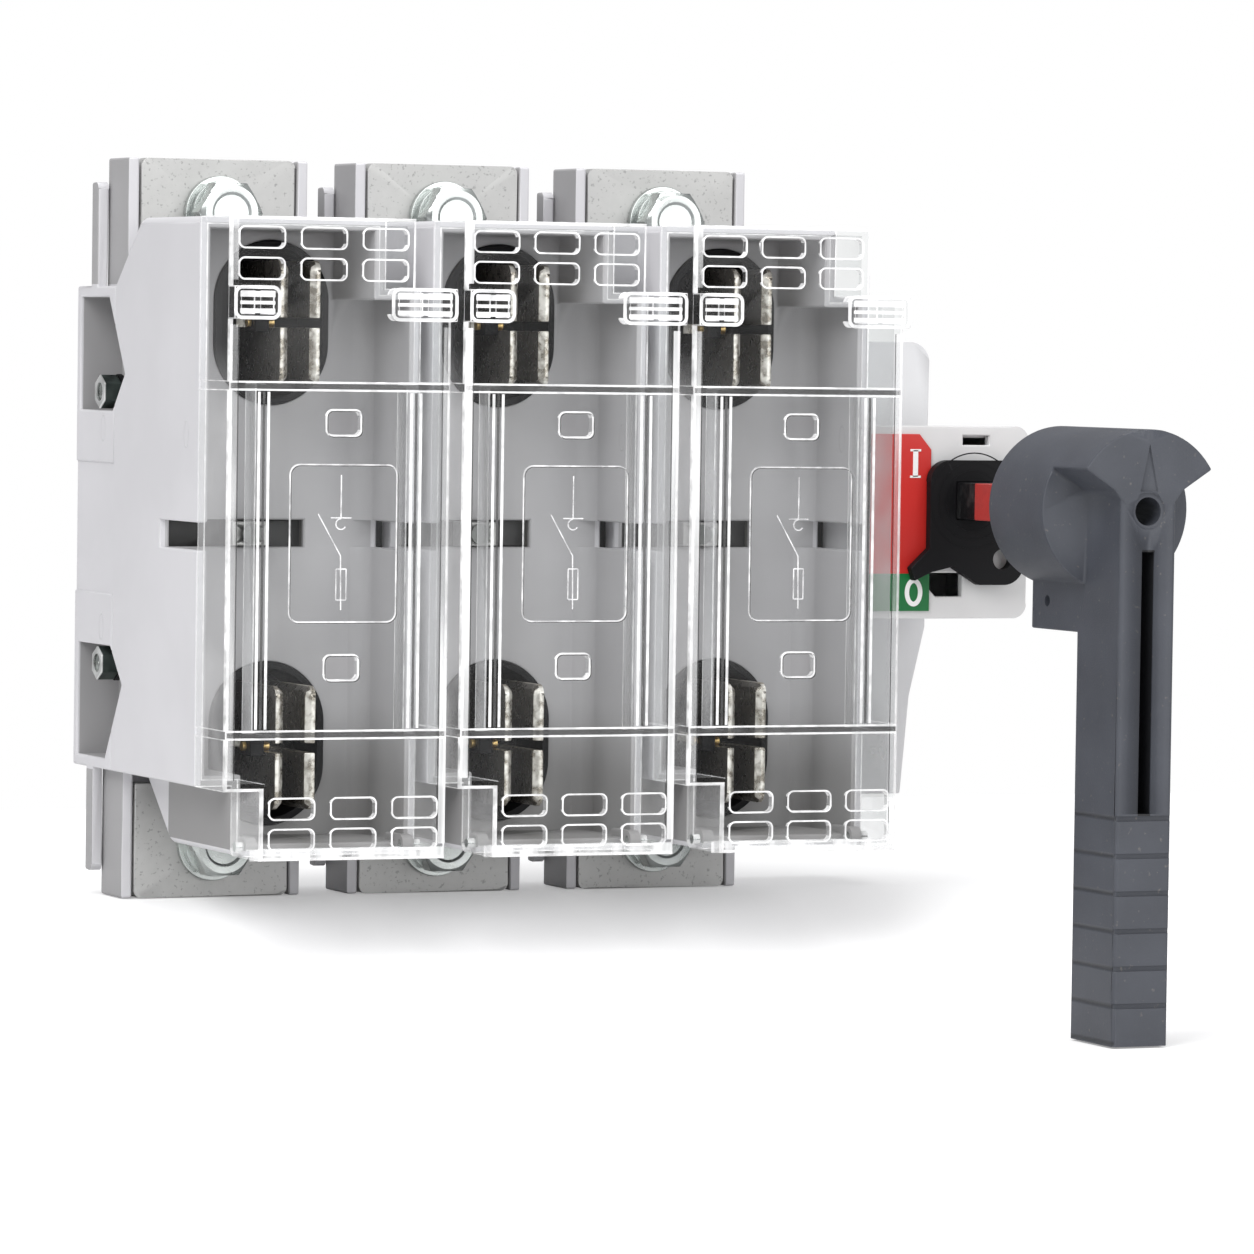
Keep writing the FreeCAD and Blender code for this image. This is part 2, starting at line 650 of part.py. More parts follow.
def contact_shroud(index, sign):
    body = new_body("Shroud_%d_%d" % (index, sign + 1))
    ends = sorted((shroud_low * sign, shroud_high * sign), key=lambda end: end.value)
    outer = sketch_on(body, "XZ_Plane", shroud_back)
    racetrack(outer, 0, ends[0] + 0.05, ends[1] - 0.05, size.shroud_width - 0.1)
    pad(body, outer, size.floor_depth + size.shroud_lip - shroud_back)
    inner = sketch_on(body, "XZ_Plane", shroud_back)
    racetrack(inner, 0, ends[0] + size.shroud_wall, ends[1] - size.shroud_wall,
              size.shroud_width - size.shroud_wall * 2)
    pocket(body, inner, None, back=True)
    move(body, pole_x(index))
    return body


# Operating mechanism beside the poles

def mechanism_case():
    body = new_body("mechanism_case")
    plan = "XZ_Plane"
    right = mech_right
    base = sketch_on(body, plan)
    polygon(base, [(mech_left, -size.mech_bottom), (right - 7, -size.mech_bottom),
                   (right - 4.6, -size.mech_bottom + 27.5), (right, -size.mech_bottom + 47),
                   (right, size.mech_top), (mech_left, size.mech_top)])
    pad(body, base, size.mech_depth)
    dress(body, "Fillet", 6.0, lambda edge, at: runs_along(edge, "y") and (
        near(at.x, right) and near(at.z, size.mech_top)))
    column = sketch_on(body, plan, size.mech_depth)
    rectangle(column, mech_left, right, -size.mech_box_bottom, size.mech_box_top)
    pad(body, column, size.mech_face - size.mech_plate - size.mech_depth)
    room = sketch_on(body, plan, size.mech_face - size.mech_plate)
    rectangle(room, mech_left + size.mech_wall, right - size.mech_wall,
              size.mech_wall - size.mech_box_bottom, size.mech_box_top - size.mech_wall)
    pocket(body, room, size.mech_face - size.mech_plate - size.mech_depth - 17)
    way = sketch_on(body, "YZ_Plane", mech_left)
    rectangle(way, -size.bar_front - size.bar_play, -bar_back + size.bar_play,
              -size.bar_height / 2 - size.bar_play, size.bar_height / 2 + size.bar_play)
    pocket(body, way, size.mech_wall, back=True)
    bores = sketch_on(body, "YZ_Plane", mech_left)
    for sign in (1, -1):
        circle(bores, -size.tie_depth, size.tie_height * sign, size.tie_size + 0.2)
    pocket(body, bores, None, back=True)
    sinks = sketch_on(body, "YZ_Plane", right)
    for sign in (1, -1):
        circle(sinks, -size.tie_depth, size.tie_height * sign, size.tie_washer_size + 1)
    pocket(body, sinks, size.pocket_depth)
    return body


def mechanism_plate():
    body = new_body("mechanism_plate")
    plan = "XZ_Plane"
    low, high = -size.mech_box_bottom - 1.3, size.mech_box_top + 1.3
    right = mech_right + size.mech_lip
    outline = sketch_on(body, plan, size.mech_face - size.mech_plate)
    rectangle(outline, mech_left, right, low, high)
    pad(body, outline, size.mech_plate)
    dress(body, "Fillet", 4.0, lambda edge, at: runs_along(edge, "y") and near(at.x, right))
    holes = sketch_on(body, plan, size.mech_face)
    circle(holes, shaft_x, size.shaft_height, size.rotor_hub + size.hub_play * 2)
    rectangle(holes, shaft_x - 1.4, shaft_x + 6.5, high - 5.2, high - 2.6)
    polygon(holes, [(shaft_x - 11, low + 12.5), (shaft_x - 11, low + 8), (shaft_x - 9, low + 6),
                    (shaft_x - 1, low + 6), (shaft_x - 1, low + 12.5)])
    pocket(body, holes, size.mech_plate)
    return body


def position_strip(label, low, high, chamfer):
    """A coloured strip left of the position plate, cut off where the plate's corner passes."""
    body = new_body(label)
    left = mech_left + 1.4
    right = left + size.strip_width
    outline = sketch_on(body, "XZ_Plane", size.mech_face)
    if chamfer:
        polygon(outline, [(left, low), (right, low), (right, high - 4.2), (right - 3.6, high),
                          (left, high)])
    else:
        rectangle(outline, left, right, low, high)
    pad(body, outline, size.strip_thickness)
    return body


def position_plate():
    """Black plate on the shaft: a rounded square with a pointer lobe and a drilled lobe."""
    body = new_body("position_plate")
    rear = size.rotor_front - size.rotor_thickness
    outline = sketch_on(body, "XZ_Plane", rear)
    polygon(outline, [
        (shaft_x - 13.0, size.shaft_height + 11.0), (shaft_x - 13.0, size.shaft_height - 13.0),
        (shaft_x - 18.6, size.shaft_height - 18.3), (shaft_x - 17.4, size.shaft_height - 21.9),
        (shaft_x - 12.2, size.shaft_height - 19.5), (shaft_x - 6.0, size.shaft_height - 18.1),
        (shaft_x + 2.0, size.shaft_height - 23.0), (shaft_x + 15.6, size.shaft_height - 23.0),
        (shaft_x + 15.6, size.shaft_height + 11.0)])
    pad(body, outline, size.rotor_thickness)
    dress(body, "Fillet", 6.0, lambda edge, at: runs_along(edge, "y") and (
        near(at.z, size.shaft_height + 11.0) or near(at.x, shaft_x + 15.6)))
    hub = sketch_on(body, "XZ_Plane", rear)
    circle(hub, shaft_x, size.shaft_height, size.rotor_hub)
    pad(body, hub, rear - size.crank_front, back=True)
    bores = sketch_on(body, "XZ_Plane", size.rotor_front)
    reach = size.shaft_size / 2
    rectangle(bores, shaft_x - reach, shaft_x + reach,
              size.shaft_height - reach, size.shaft_height + reach)
    circle(bores, shaft_x + 9.0, size.shaft_height - 16.0, 5.6)
    pocket(body, bores, None)
    return body


def crank_disc():
    body = new_body("crank_disc")
    disc = sketch_on(body, "XZ_Plane", size.crank_back)
    circle(disc, shaft_x, size.shaft_height, size.crank_size)
    pad(body, disc, size.crank_front - size.crank_back)
    seat = sketch_on(body, "XZ_Plane", size.crank_front)
    reach = size.shaft_size / 2
    rectangle(seat, shaft_x - reach, shaft_x + reach,
              size.shaft_height - reach, size.shaft_height + reach)
    pocket(body, seat, 8)
    hole = sketch_on(body, "XZ_Plane", size.crank_back)
    circle(hole, shaft_x - crank_half, size.shaft_height + crank_half, size.crank_pin)
    pocket(body, hole, 5, back=True)
    return body


def drive_bar():
    """Flat bar through all poles, a lug in each chamber floor and a yoke round the pin."""
    body = new_body("drive_bar")
    first = pole_x(1) - half + size.wall + 1
    yoke = shaft_x - crank_half
    bar = sketch_on(body, "XZ_Plane", bar_back)
    rectangle(bar, first, yoke + size.yoke_width / 2, -size.bar_height / 2, size.bar_height / 2)
    pad(body, bar, size.bar_thickness)
    lugs = sketch_on(body, "XZ_Plane", size.bar_front)
    for index in (1, 2, 3):
        right = pole_x(index) - 1.2
        rectangle(lugs, right - size.lug_width, right, -size.slot_height / 2 + 0.4,
                  size.slot_height / 2 - 0.4)
    pad(body, lugs, size.lug_front - size.bar_front)
    block = sketch_on(body, "XZ_Plane", bar_back)
    rectangle(block, yoke - size.yoke_width / 2, yoke + size.yoke_width / 2,
              -size.bar_height / 2, size.shaft_height + size.crank_radius + 6)
    pad(body, block, size.yoke_front - bar_back)
    slot = sketch_on(body, "XZ_Plane", size.yoke_front)
    racetrack(slot, yoke, size.shaft_height + crank_half - size.crank_pin / 2 - 1.2,
              size.shaft_height + size.crank_radius + size.crank_pin / 2 + 1.2,
              size.crank_pin + size.pin_play * 2)
    pocket(body, slot, None)
    screws = sketch_on(body, "XZ_Plane", size.lug_front)
    for index in (1, 2, 3):
        circle(screws, pole_x(index) - 1.2 - size.lug_width / 2, 0, 3)
    pocket(body, screws, 6)
    return body


# Pistol handle: round hub, anchor-shaped cap and a slotted, grooved arm that hangs down

def handle():
    body = new_body("handle")
    plan = "XZ_Plane"
    x, z = shaft_x, size.shaft_height
    wide = size.arm_width / 2
    hub = sketch_on(body, plan, size.handle_back)
    circle(hub, x, z, size.hub_size)
    pad(body, hub, size.handle_hub_front - size.handle_back)
    cap = sketch_on(body, plan, size.handle_hub_front)
    circle(cap, x, z, size.hub_size)
    pad(body, cap, size.handle_front - size.handle_hub_front)
    flanks = sketch_on(body, plan, size.handle_front)
    reach = size.hub_size / 2 + 1
    for sign in (1, -1):
        polygon(flanks, [(x + reach * sign, z + 13.5), (x + (wide + 2) * sign, z + 5.5),
                         (x + wide * sign, z + 3.0), (x + wide * sign, z - reach),
                         (x + reach * sign, z - reach)])
    pocket(body, flanks, size.handle_front - size.handle_hub_front)
    arm = sketch_on(body, plan, size.handle_front - size.arm_depth)
    polygon(arm, [(x - wide, z), (x - wide, z - size.arm_length),
                  (x + wide, z - size.arm_length), (x + wide, z)])
    pad(body, arm, size.arm_depth)
    web = sketch_on(body, plan, size.handle_back)
    rectangle(web, x - wide, x + wide, z - size.hub_size / 2 - 11.0, z)
    pad(body, web, size.handle_front - size.arm_depth - size.handle_back)
    dress(body, "Fillet", 1.0, lambda edge, at: runs_along(edge, "z") and (
        near(abs(at.x - x.value), wide) and at.z < z.value - 25 and edge.Length > 20))

    # shaft socket, lock screw hole, arrow, long slot and web eye
    socket = sketch_on(body, plan, size.handle_back)
    half_shaft = size.shaft_size / 2
    rectangle(socket, x - half_shaft, x + half_shaft, z - half_shaft, z + half_shaft)
    pocket(body, socket, size.shaft_tip - size.handle_back, back=True)
    front = sketch_on(body, plan, size.handle_front)
    circle(front, x, z, size.front_hole)
    pocket(body, front, size.handle_front - size.shaft_tip)
    sink = sketch_on(body, plan, size.handle_front)
    circle(sink, x, z, size.front_hole + 2.2)
    pocket(body, sink, 0.6)
    arrow = sketch_on(body, plan, size.handle_front)
    polygon(arrow, [(x, z + 17.5), (x - 2.6, z + 5.2), (x + 2.6, z + 5.2)])
    pocket(body, arrow, 0.6)
    slot = sketch_on(body, plan, size.handle_front)
    rectangle(slot, x - size.arm_slot_width / 2, x + size.arm_slot_width / 2,
              z - size.arm_slot_bottom, z - size.arm_slot_top)
    pocket(body, slot, size.arm_slot_depth)
    eye = sketch_on(body, "YZ_Plane", x)
    circle(eye, -size.handle_back - 9, z - size.hub_size / 2 - 3.5, 3)
    pocket(body, eye, None, both=True)

    # grip grooves, repeated down the arm
    groove = sketch_on(body, plan, size.handle_front)
    rectangle(groove, x - wide - 1, x + wide + 1, z - size.grip_first - size.grip_groove,
              z - size.grip_first)
    first = pocket(body, groove, 0.7)
    rows = body.newObject("PartDesign::LinearPattern", "Grooves")
    rows.Originals = [first]
    rows.Direction = (next(item for item in body.Origin.OriginFeatures if item.Role == "Z_Axis"),
                      [""])
    rows.Reversed = True
    rows.Occurrences = 6
    bind(rows, "Length", size.grip_pitch * 5)
    body.Tip = rows
    doc.recompute()
    return body


# Build every piece

for index in (1, 2, 3):
    keep(pole_base(index))
    keep(pole_housing(index))
for index in (1, 2, 3):
    for sign, name in SIDES:
        keep(terminal_plate(index, sign, name))
        keep(fuse_jaw(index, sign, name))
SPOTS = [(index, sign) for index in (1, 2, 3) for sign in (1, -1)]
keep(group("contact_shrouds", [contact_shroud(index, sign) for index, sign in SPOTS]))

# Terminal screws: flat washer, spring washer and hexagon head in front, nut behind the tongue

flat_front = plate_front + size.washer_thickness
spring_front = flat_front + size.spring_washer_thickness
keep(group("terminal_bolts", [
    fuse(hexagon(size.bolt_flats, size.bolt_head, bolt_x(index), -spring_front,
                 size.bolt_height * sign),
         rod(size.bolt_size, spring_front - size.tongue_back + size.nut_thickness + 0.5,
             bolt_x(index), -size.tongue_back + size.nut_thickness + 0.5,
             size.bolt_height * sign))
    for index, sign in SPOTS]))
keep(group("terminal_nuts", [
    cut(hexagon(size.bolt_flats, size.nut_thickness, bolt_x(index),
                -size.tongue_back + size.nut_thickness, size.bolt_height * sign),
        rod(size.bolt_size, size.nut_thickness, bolt_x(index),
            -size.tongue_back + size.nut_thickness, size.bolt_height * sign))
    for index, sign in SPOTS]))
keep(group("terminal_flat_washers", [
    ring(size.washer_size, size.bolt_size, size.washer_thickness, bolt_x(index), -plate_front,
         size.bolt_height * sign) for index, sign in SPOTS]))
keep(group("terminal_spring_washers", [
    cut(ring(size.spring_washer_size, size.bolt_size, size.spring_washer_thickness,
             bolt_x(index), -flat_front, size.bolt_height * sign),
        box(bolt_x(index) + 4, bolt_x(index) + 10, -spring_front - 1, -flat_front + 1,
            size.bolt_height * sign, size.bolt_height * sign + 0.8))
    for index, sign in SPOTS]))
keep(group("jaw_screws", [
    fuse(rod(9, 4, pole_x(index), -size.tongue_front + 4, size.jaw_screw_height * sign),
         rod(size.jaw_screw, size.plate_thickness + 10, pole_x(index), -size.tongue_front,
             size.jaw_screw_height * sign))
    for index, sign in SPOTS]))

# Jaw springs: a black block beside the left plate, held by a pin in that plate's slit

side = size.jaw_gap / 2 + size.jaw_plate
keep(group("jaw_pins", [
    rod(size.jaw_slit, size.jaw_plate + 4.8, pole_x(index) - side - 5, -size.jaw_front + 12,
        size.jaw_centre * sign, ALONG_X) for index, sign in SPOTS]))
keep(group("jaw_spring_blocks", [
    cut(box(pole_x(index) - side - 4, pole_x(index) - side, -size.jaw_front + 8,
            -size.jaw_front + 16, size.jaw_centre * sign - 2.6, size.jaw_centre * sign + 2.6),
        rod(size.jaw_slit, 8, pole_x(index) - side - 6, -size.jaw_front + 12,
            size.jaw_centre * sign, ALONG_X)) for index, sign in SPOTS]))

# Mounting inserts, tie rods and covers

keep(group("mounting_inserts", [
    ring(size.insert_size, size.insert_bore, size.insert_length,
         size.insert_spacing_x / 2 * across, 0, size.insert_spacing_z / 2 * up)
    for across in (-1, 1) for up in (1, -1)]))
rod_start = pole_x(1) - half
washer_x = rod_start + size.tie_nut
rod_end = mech_right - size.pocket_depth + size.tie_washer
keep(group("tie_rods", [
    fuse(rod(size.tie_size, rod_end - rod_start - 0.5, rod_start + 0.5, -size.tie_depth,
             size.tie_height * sign, ALONG_X),
         hexagon(size.tie_flats, size.tie_nut, rod_end, -size.tie_depth, size.tie_height * sign,
                 ALONG_X)) for sign in (1, -1)]))
keep(group("tie_nuts", [
    cut(hexagon(size.tie_flats, size.tie_nut, rod_start, -size.tie_depth,
                size.tie_height * sign, ALONG_X),
        rod(size.tie_size, size.tie_nut, rod_start, -size.tie_depth, size.tie_height * sign,
            ALONG_X)) for sign in (1, -1)]))
keep(group("tie_washers", [
    ring(size.tie_washer_size, size.tie_size, size.tie_washer, start, -size.tie_depth,
         size.tie_height * sign, ALONG_X)
    for sign in (1, -1) for start in (washer_x, rod_end - size.tie_washer)]))
for index in (1, 2, 3):
    keep(fuse_cover(index))
pin_length = size.hinge_ear + size.cover_wall + size.hinge_play
keep(group("hinge_pins", [
    rod(size.hinge_pin, pin_length, pole_x(index) + start, -size.hinge_depth, hinge_z, ALONG_X)
    for index in (1, 2, 3)
    for start in (left_ear - size.hinge_play - size.cover_wall, right_ear)]))

# Mechanism, shaft, drive bar and handle

keep(mechanism_case())
keep(mechanism_plate())
green_top = size.shaft_height - 20
keep(position_strip("position_strip_on", green_top, size.mech_box_top - 1.0, True))
keep(position_strip("position_strip_off", -size.mech_box_bottom + 0.8, green_top, False))
keep(position_plate())
keep(crank_disc())
keep(rod(size.crank_pin, size.crank_back + 5 - bar_back - 1, shaft_x - crank_half,
         -bar_back - 1, size.shaft_height + crank_half), "crank_pin")
half_shaft = size.shaft_size / 2
shaft_back = size.crank_front - 8
keep(cut(box(shaft_x - half_shaft, shaft_x + half_shaft, -size.shaft_tip, -shaft_back,
             size.shaft_height - half_shaft, size.shaft_height + half_shaft),
         rod(size.lock_screw, 14, shaft_x, -size.shaft_tip + 14, size.shaft_height)),
     "drive_shaft")
keep(drive_bar())
keep(group("drive_screws", [
    fuse(rod(5.4, 1.6, pole_x(index) - 1.2 - size.lug_width / 2, -size.lug_front, 0),
         rod(3, 6, pole_x(index) - 1.2 - size.lug_width / 2, -size.lug_front + 6, 0))
    for index in (1, 2, 3)]))
keep(handle())
keep(fuse(rod(size.front_hole - 0.4, 3, shaft_x, -size.shaft_tip, size.shaft_height),
          rod(size.lock_screw, 12, shaft_x, -size.shaft_tip + 12, size.shaft_height)),
     "lock_screw")

# Check every object and every piece before writing the files

doc.recompute()
for item in doc.Objects:
    if "Invalid" in item.State or "Error" in item.State:
        raise RuntimeError("%s (%s) failed" % (item.Name, item.Label))
for item in nodes:
    shape = item.Shape
    if shape.isNull() or not shape.isValid() or not shape.Solids:
        raise RuntimeError("%s has no valid solid" % item.Label)
for item in nodes:
    item.Shape.exportStep("parts/%s.step" % item.Label)
print("%d pieces written" % len(nodes))
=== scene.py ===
import json
import math
import bmesh
import bpy
from mathutils import Matrix, Vector

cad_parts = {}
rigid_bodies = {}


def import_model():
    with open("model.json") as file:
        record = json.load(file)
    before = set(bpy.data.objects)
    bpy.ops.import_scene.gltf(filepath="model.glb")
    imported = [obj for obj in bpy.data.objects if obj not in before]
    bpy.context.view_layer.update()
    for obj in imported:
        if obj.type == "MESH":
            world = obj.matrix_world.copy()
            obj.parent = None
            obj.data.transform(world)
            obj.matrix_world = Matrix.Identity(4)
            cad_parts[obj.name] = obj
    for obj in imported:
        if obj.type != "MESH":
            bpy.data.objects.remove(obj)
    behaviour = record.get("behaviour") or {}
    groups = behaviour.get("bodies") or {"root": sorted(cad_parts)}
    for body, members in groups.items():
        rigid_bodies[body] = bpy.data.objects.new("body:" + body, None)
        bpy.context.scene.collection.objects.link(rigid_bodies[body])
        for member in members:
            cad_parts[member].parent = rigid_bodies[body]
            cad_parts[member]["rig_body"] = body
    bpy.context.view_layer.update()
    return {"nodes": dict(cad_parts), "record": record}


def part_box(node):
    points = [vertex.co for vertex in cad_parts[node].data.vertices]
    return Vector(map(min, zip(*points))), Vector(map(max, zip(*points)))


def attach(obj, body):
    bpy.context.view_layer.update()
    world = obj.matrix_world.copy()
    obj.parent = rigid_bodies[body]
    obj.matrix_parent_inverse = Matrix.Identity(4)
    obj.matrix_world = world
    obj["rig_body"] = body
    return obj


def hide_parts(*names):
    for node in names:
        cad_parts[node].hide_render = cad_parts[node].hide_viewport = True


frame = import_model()

# A three-pole fuse switch with clear covers, in metres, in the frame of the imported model:
# origin on the mounting plane, front towards -Y, +Z up and the poles side by side along X.

MM = 0.001
POLE_PITCH = 65.0 * MM
POLE_PLACES = (-POLE_PITCH, 0.0, POLE_PITCH)
SHAFT_ACROSS = 130.0 * MM
SIDES = ((1, "upper"), (-1, "lower"))


# Materials: sockets that take arithmetic, and one call for every other node

class Wire:
    """One value inside a material; arithmetic on it adds the nodes that work it out."""

    def __init__(self, tree, output):
        self.tree = tree
        self.output = output

    def math(self, operation, first, second):
        node = self.tree.nodes.new("ShaderNodeMath")
        node.operation = operation
        feed(self.tree, node.inputs[0], first)
        feed(self.tree, node.inputs[1], second)
        return Wire(self.tree, node.outputs[0])

    def __add__(self, other):
        return self.math("ADD", self, other)

    def __radd__(self, other):
        return self.math("ADD", other, self)

    def __sub__(self, other):
        return self.math("SUBTRACT", self, other)

    def __rsub__(self, other):
        return self.math("SUBTRACT", other, self)

    def __mul__(self, other):
        return self.math("MULTIPLY", self, other)

    def __gt__(self, other):
        return self.math("GREATER_THAN", self, other)

    def __lt__(self, other):
        return self.math("LESS_THAN", self, other)

    def clipped(self):
        return self.math("MINIMUM", self.math("MAXIMUM", self, 0.0), 1.0)


def feed(tree, socket, value):
    if isinstance(value, Wire):
        tree.links.new(value.output, socket)
    elif hasattr(value, "__len__") and len(value) == 3 and socket.type == "RGBA":
        socket.default_value = (*value, 1.0)
    else:
        socket.default_value = value


class Material:
    """A new node material: add() makes a node from its type, settings and inputs."""

    def __init__(self, name):
        self.data = bpy.data.materials.new(name)
        self.data.use_nodes = True
        self.tree = self.data.node_tree
        self.tree.nodes.clear()

    def add(self, kind, settings=None, inputs=None, output=0):
        node = self.tree.nodes.new("ShaderNode" + kind)
        for key, value in (settings or {}).items():
            setattr(node, key, value)
        for key, value in (inputs or {}).items():
            feed(self.tree, node.inputs[key], value)
        return Wire(self.tree, node.outputs[output]) if len(node.outputs) else node

    def place(self):
        return self.add("TexCoord", output="Object")

    def axis(self, name):
        return self.add("SeparateXYZ", inputs={"Vector": self.place()}, output=name)

    def facing(self, name):
        normal = self.add("NewGeometry", output="Normal")
        return self.add("SeparateXYZ", inputs={"Vector": normal}, output=name)

    def math(self, operation, first, second=0.0):
        return Wire(self.tree, None).math(operation, first, second)

    def oval_lines(self, centres, half_wide=1.7 * MM, half_tall=3.4 * MM):
        """Fine oval lines on the left side, where the mould's pins touched."""
        front, height = self.axis("Y"), self.axis("Z")
        total = 0.0
        for across, up in centres:
            wide, tall = (front - across) * (1 / half_wide), (height - up) * (1 / half_tall)
            reach = self.math("SQRT", wide * wide + tall * tall)
            total = total + (1.0 - self.math("ABSOLUTE", reach - 1.0) * 8.0).clipped()
        return total * (self.facing("X") < -0.9)

    def noise(self, scale, detail=2.0, stretch=(1.0, 1.0, 1.0)):
        spot = self.add("VectorMath", {"operation": "MULTIPLY"}, {0: self.place(), 1: stretch})
        return self.add("TexNoise", inputs={"Vector": spot, "Scale": scale, "Detail": detail})

    def mix(self, factor, first, second):
        settings = {"data_type": "RGBA", "clamp_factor": True}
        return self.add("Mix", settings, {0: factor, 6: first, 7: second}, output=2)

    def spread(self, value, low, high):
        """The value stretched so that low becomes 0 and high becomes 1."""
        return ((value - low) * (1.0 / (high - low))).clipped()

    def bump(self, height, strength, distance):
        return self.add("Bump", inputs={"Height": height, "Strength": strength,
                                        "Distance": distance})

    def shader(self, **inputs):
        return self.add("BsdfPrincipled", inputs=inputs)

    def finish(self, surface):
        self.add("OutputMaterial", inputs={"Surface": surface})
        return self.data


def shade(colour, factor):
    return tuple(min(1.0, channel * factor) for channel in colour)


def moulded(name, colour, roughness, grain=0.10, mottling=0.05, specks=0.0, gloss=0.5):
    """Moulded plastic with slow tone changes, fine grain and, where asked, light specks."""
    material = Material(name)
    slow = material.spread(material.noise(28.0, 3.0), 0.35, 0.65)
    fine = material.noise(2600.0, 2.0)
    tone = material.mix(slow, shade(colour, 1.0 - mottling), shade(colour, 1.0 + mottling))
    if specks:
        speck = material.spread(material.noise(1500.0, 1.0), 0.70, 0.76)
        tone = material.mix(speck * specks, tone, shade(colour, 2.4))
    rough = fine * 0.12 + (roughness - 0.06)
    return material.finish(material.shader(**{
        "Base Color": tone, "Roughness": rough, "IOR": 1.5, "Specular IOR Level": gloss,
        "Normal": material.bump(fine, grain, 0.0002)}))


def plated(name, colour, roughness, mottling=0.12, specks=0.0, grain=0.10, metallic=1.0):
    """Plated metal with cloudy tone, uneven gloss and, where asked, dark specks."""
    material = Material(name)
    cloud = material.spread(material.noise(90.0, 4.0), 0.3, 0.7)
    fine = material.noise(1400.0, 3.0)
    tone = material.mix(cloud, shade(colour, 1.0 - mottling), shade(colour, 1.0 + mottling))
    if specks:
        speck = material.spread(material.noise(1100.0, 2.0), 0.62, 0.70)
        tone = material.mix(speck * specks, tone, shade(colour, 0.35))
    rough = cloud * 0.14 + (roughness - 0.07)
    return material.finish(material.shader(**{
        "Base Color": tone, "Metallic": metallic, "Roughness": rough,
        "Normal": material.bump(fine, grain, 0.0001)}))


CHAMBER_HALF, CHAMBER_BACK, CHAMBER_REACH = 29.0 * MM, -50.0 * MM, 81.5 * MM
FOOT_START, FOOT_END = -45.0 * MM, -65.0 * MM
HOLLOW_LEFT, HOLLOW_REACH, HOLLOW_BACK = -18.6 * MM, 63.0 * MM, -20.0 * MM
HOLLOW_RIM, HOLLOW_DEEP = -67.2 * MM, -66.0 * MM
POCKET_LEFT, POCKET_RIGHT, POCKET_REACH = -29.9 * MM, -18.0 * MM, 63.5 * MM
TONGUE_START, TONGUE_FRONT = 65.5 * MM, -31.2 * MM
PIN_OVALS = ((-22.5 * MM, 27.0 * MM), (-22.5 * MM, -26.5 * MM), (-88.5 * MM, 26.5 * MM))


def pole_plastic(name, colour):
    """Light moulded plastic of the poles, with painted shade in their chambers, pockets and hollows
    and on the left sides of the terminal tongues.
    """
    material = Material(name)
    shifted = material.axis("X") + POLE_PITCH * 1.5
    across = material.math("MODULO", shifted, POLE_PITCH) - POLE_PITCH / 2
    front, height = material.axis("Y"), material.math("ABSOLUTE", material.axis("Z"))
    within = (across > -CHAMBER_HALF) * (across < CHAMBER_HALF)
    chamber = within * (front < CHAMBER_BACK) * (height < CHAMBER_REACH)
    foot = material.spread(material.axis("Z"), FOOT_START, FOOT_END)
    hollow = (across > HOLLOW_LEFT) * (across < CHAMBER_HALF) * (height < HOLLOW_REACH)
    hollow = hollow * material.spread(front, HOLLOW_RIM, HOLLOW_DEEP) * (front < HOLLOW_BACK)
    pocket = (across > POCKET_LEFT) * (across < POCKET_RIGHT)
    pocket = pocket * (front > CHAMBER_BACK) * (height < POCKET_REACH)
    tongue = (height > TONGUE_START) * (front > TONGUE_FRONT) * (material.facing("X") < -0.5)
    # Painted shade: a dark line down the middle of each chamber.
    middle_shade_line = (1.0 - material.math("ABSOLUTE", across - 0.004) * 90.0).clipped()
    # Painted shade: the chambers, deeper towards their lower ends, the left sides of the terminal
    # tongues and the pockets; the hollows almost black.
    painted_shade = chamber * (foot * 0.28 + middle_shade_line * 0.10 + 0.33) + tongue * 0.45 + pocket * 0.45
    painted_shade = material.math("MAXIMUM", painted_shade, hollow * 0.93)
    slow = material.spread(material.noise(28.0, 3.0), 0.35, 0.65)
    fine = material.noise(2600.0, 2.0)
    tone = material.mix(slow, shade(colour, 0.97), shade(colour, 1.03))
    # The painted shade mixes the tone towards a dark brown-grey.
    tone = material.mix(painted_shade, tone, (0.040, 0.038, 0.024))
    ovals = material.oval_lines(PIN_OVALS)
    relief = material.bump(fine * 0.12 + ovals, 0.8, 0.0002)
    return material.finish(material.shader(**{
        "Base Color": tone, "Roughness": fine * 0.12 + 0.44, "IOR": 1.5, "Normal": relief}))


def clear_plastic(name, haze, tint):
    """Thin clear plastic: a mirror sheen that grows towards the edges over a clear body, and a
    painted highlight on the left side faces below their upper ends.
    """
    material = Material(name)
    cloud = material.spread(material.noise(45.0, 3.0), 0.42, 0.70)
    outside = 1.0 - material.add("NewGeometry", output="Backfacing")
    gleam = material.add("Fresnel", inputs={"IOR": 1.45}) * outside
    # Painted highlight: the left side faces lower down show more of the pale sheen.
    side = (material.facing("X") < -0.5) * material.spread(material.axis("Z"), 0.050, 0.030)
    shown = gleam * 0.5 + cloud * haze + side * outside * (cloud * 0.25 + 0.30)
    sheen = material.shader(**{
        "Base Color": (0.90, 0.90, 0.90), "Metallic": 0.5, "Roughness": cloud * 0.1 + 0.12})
    clear = material.add("BsdfTransparent", inputs={"Color": tint})
    return material.finish(material.add("MixShader", inputs={0: shown, 1: clear, 2: sheen}))


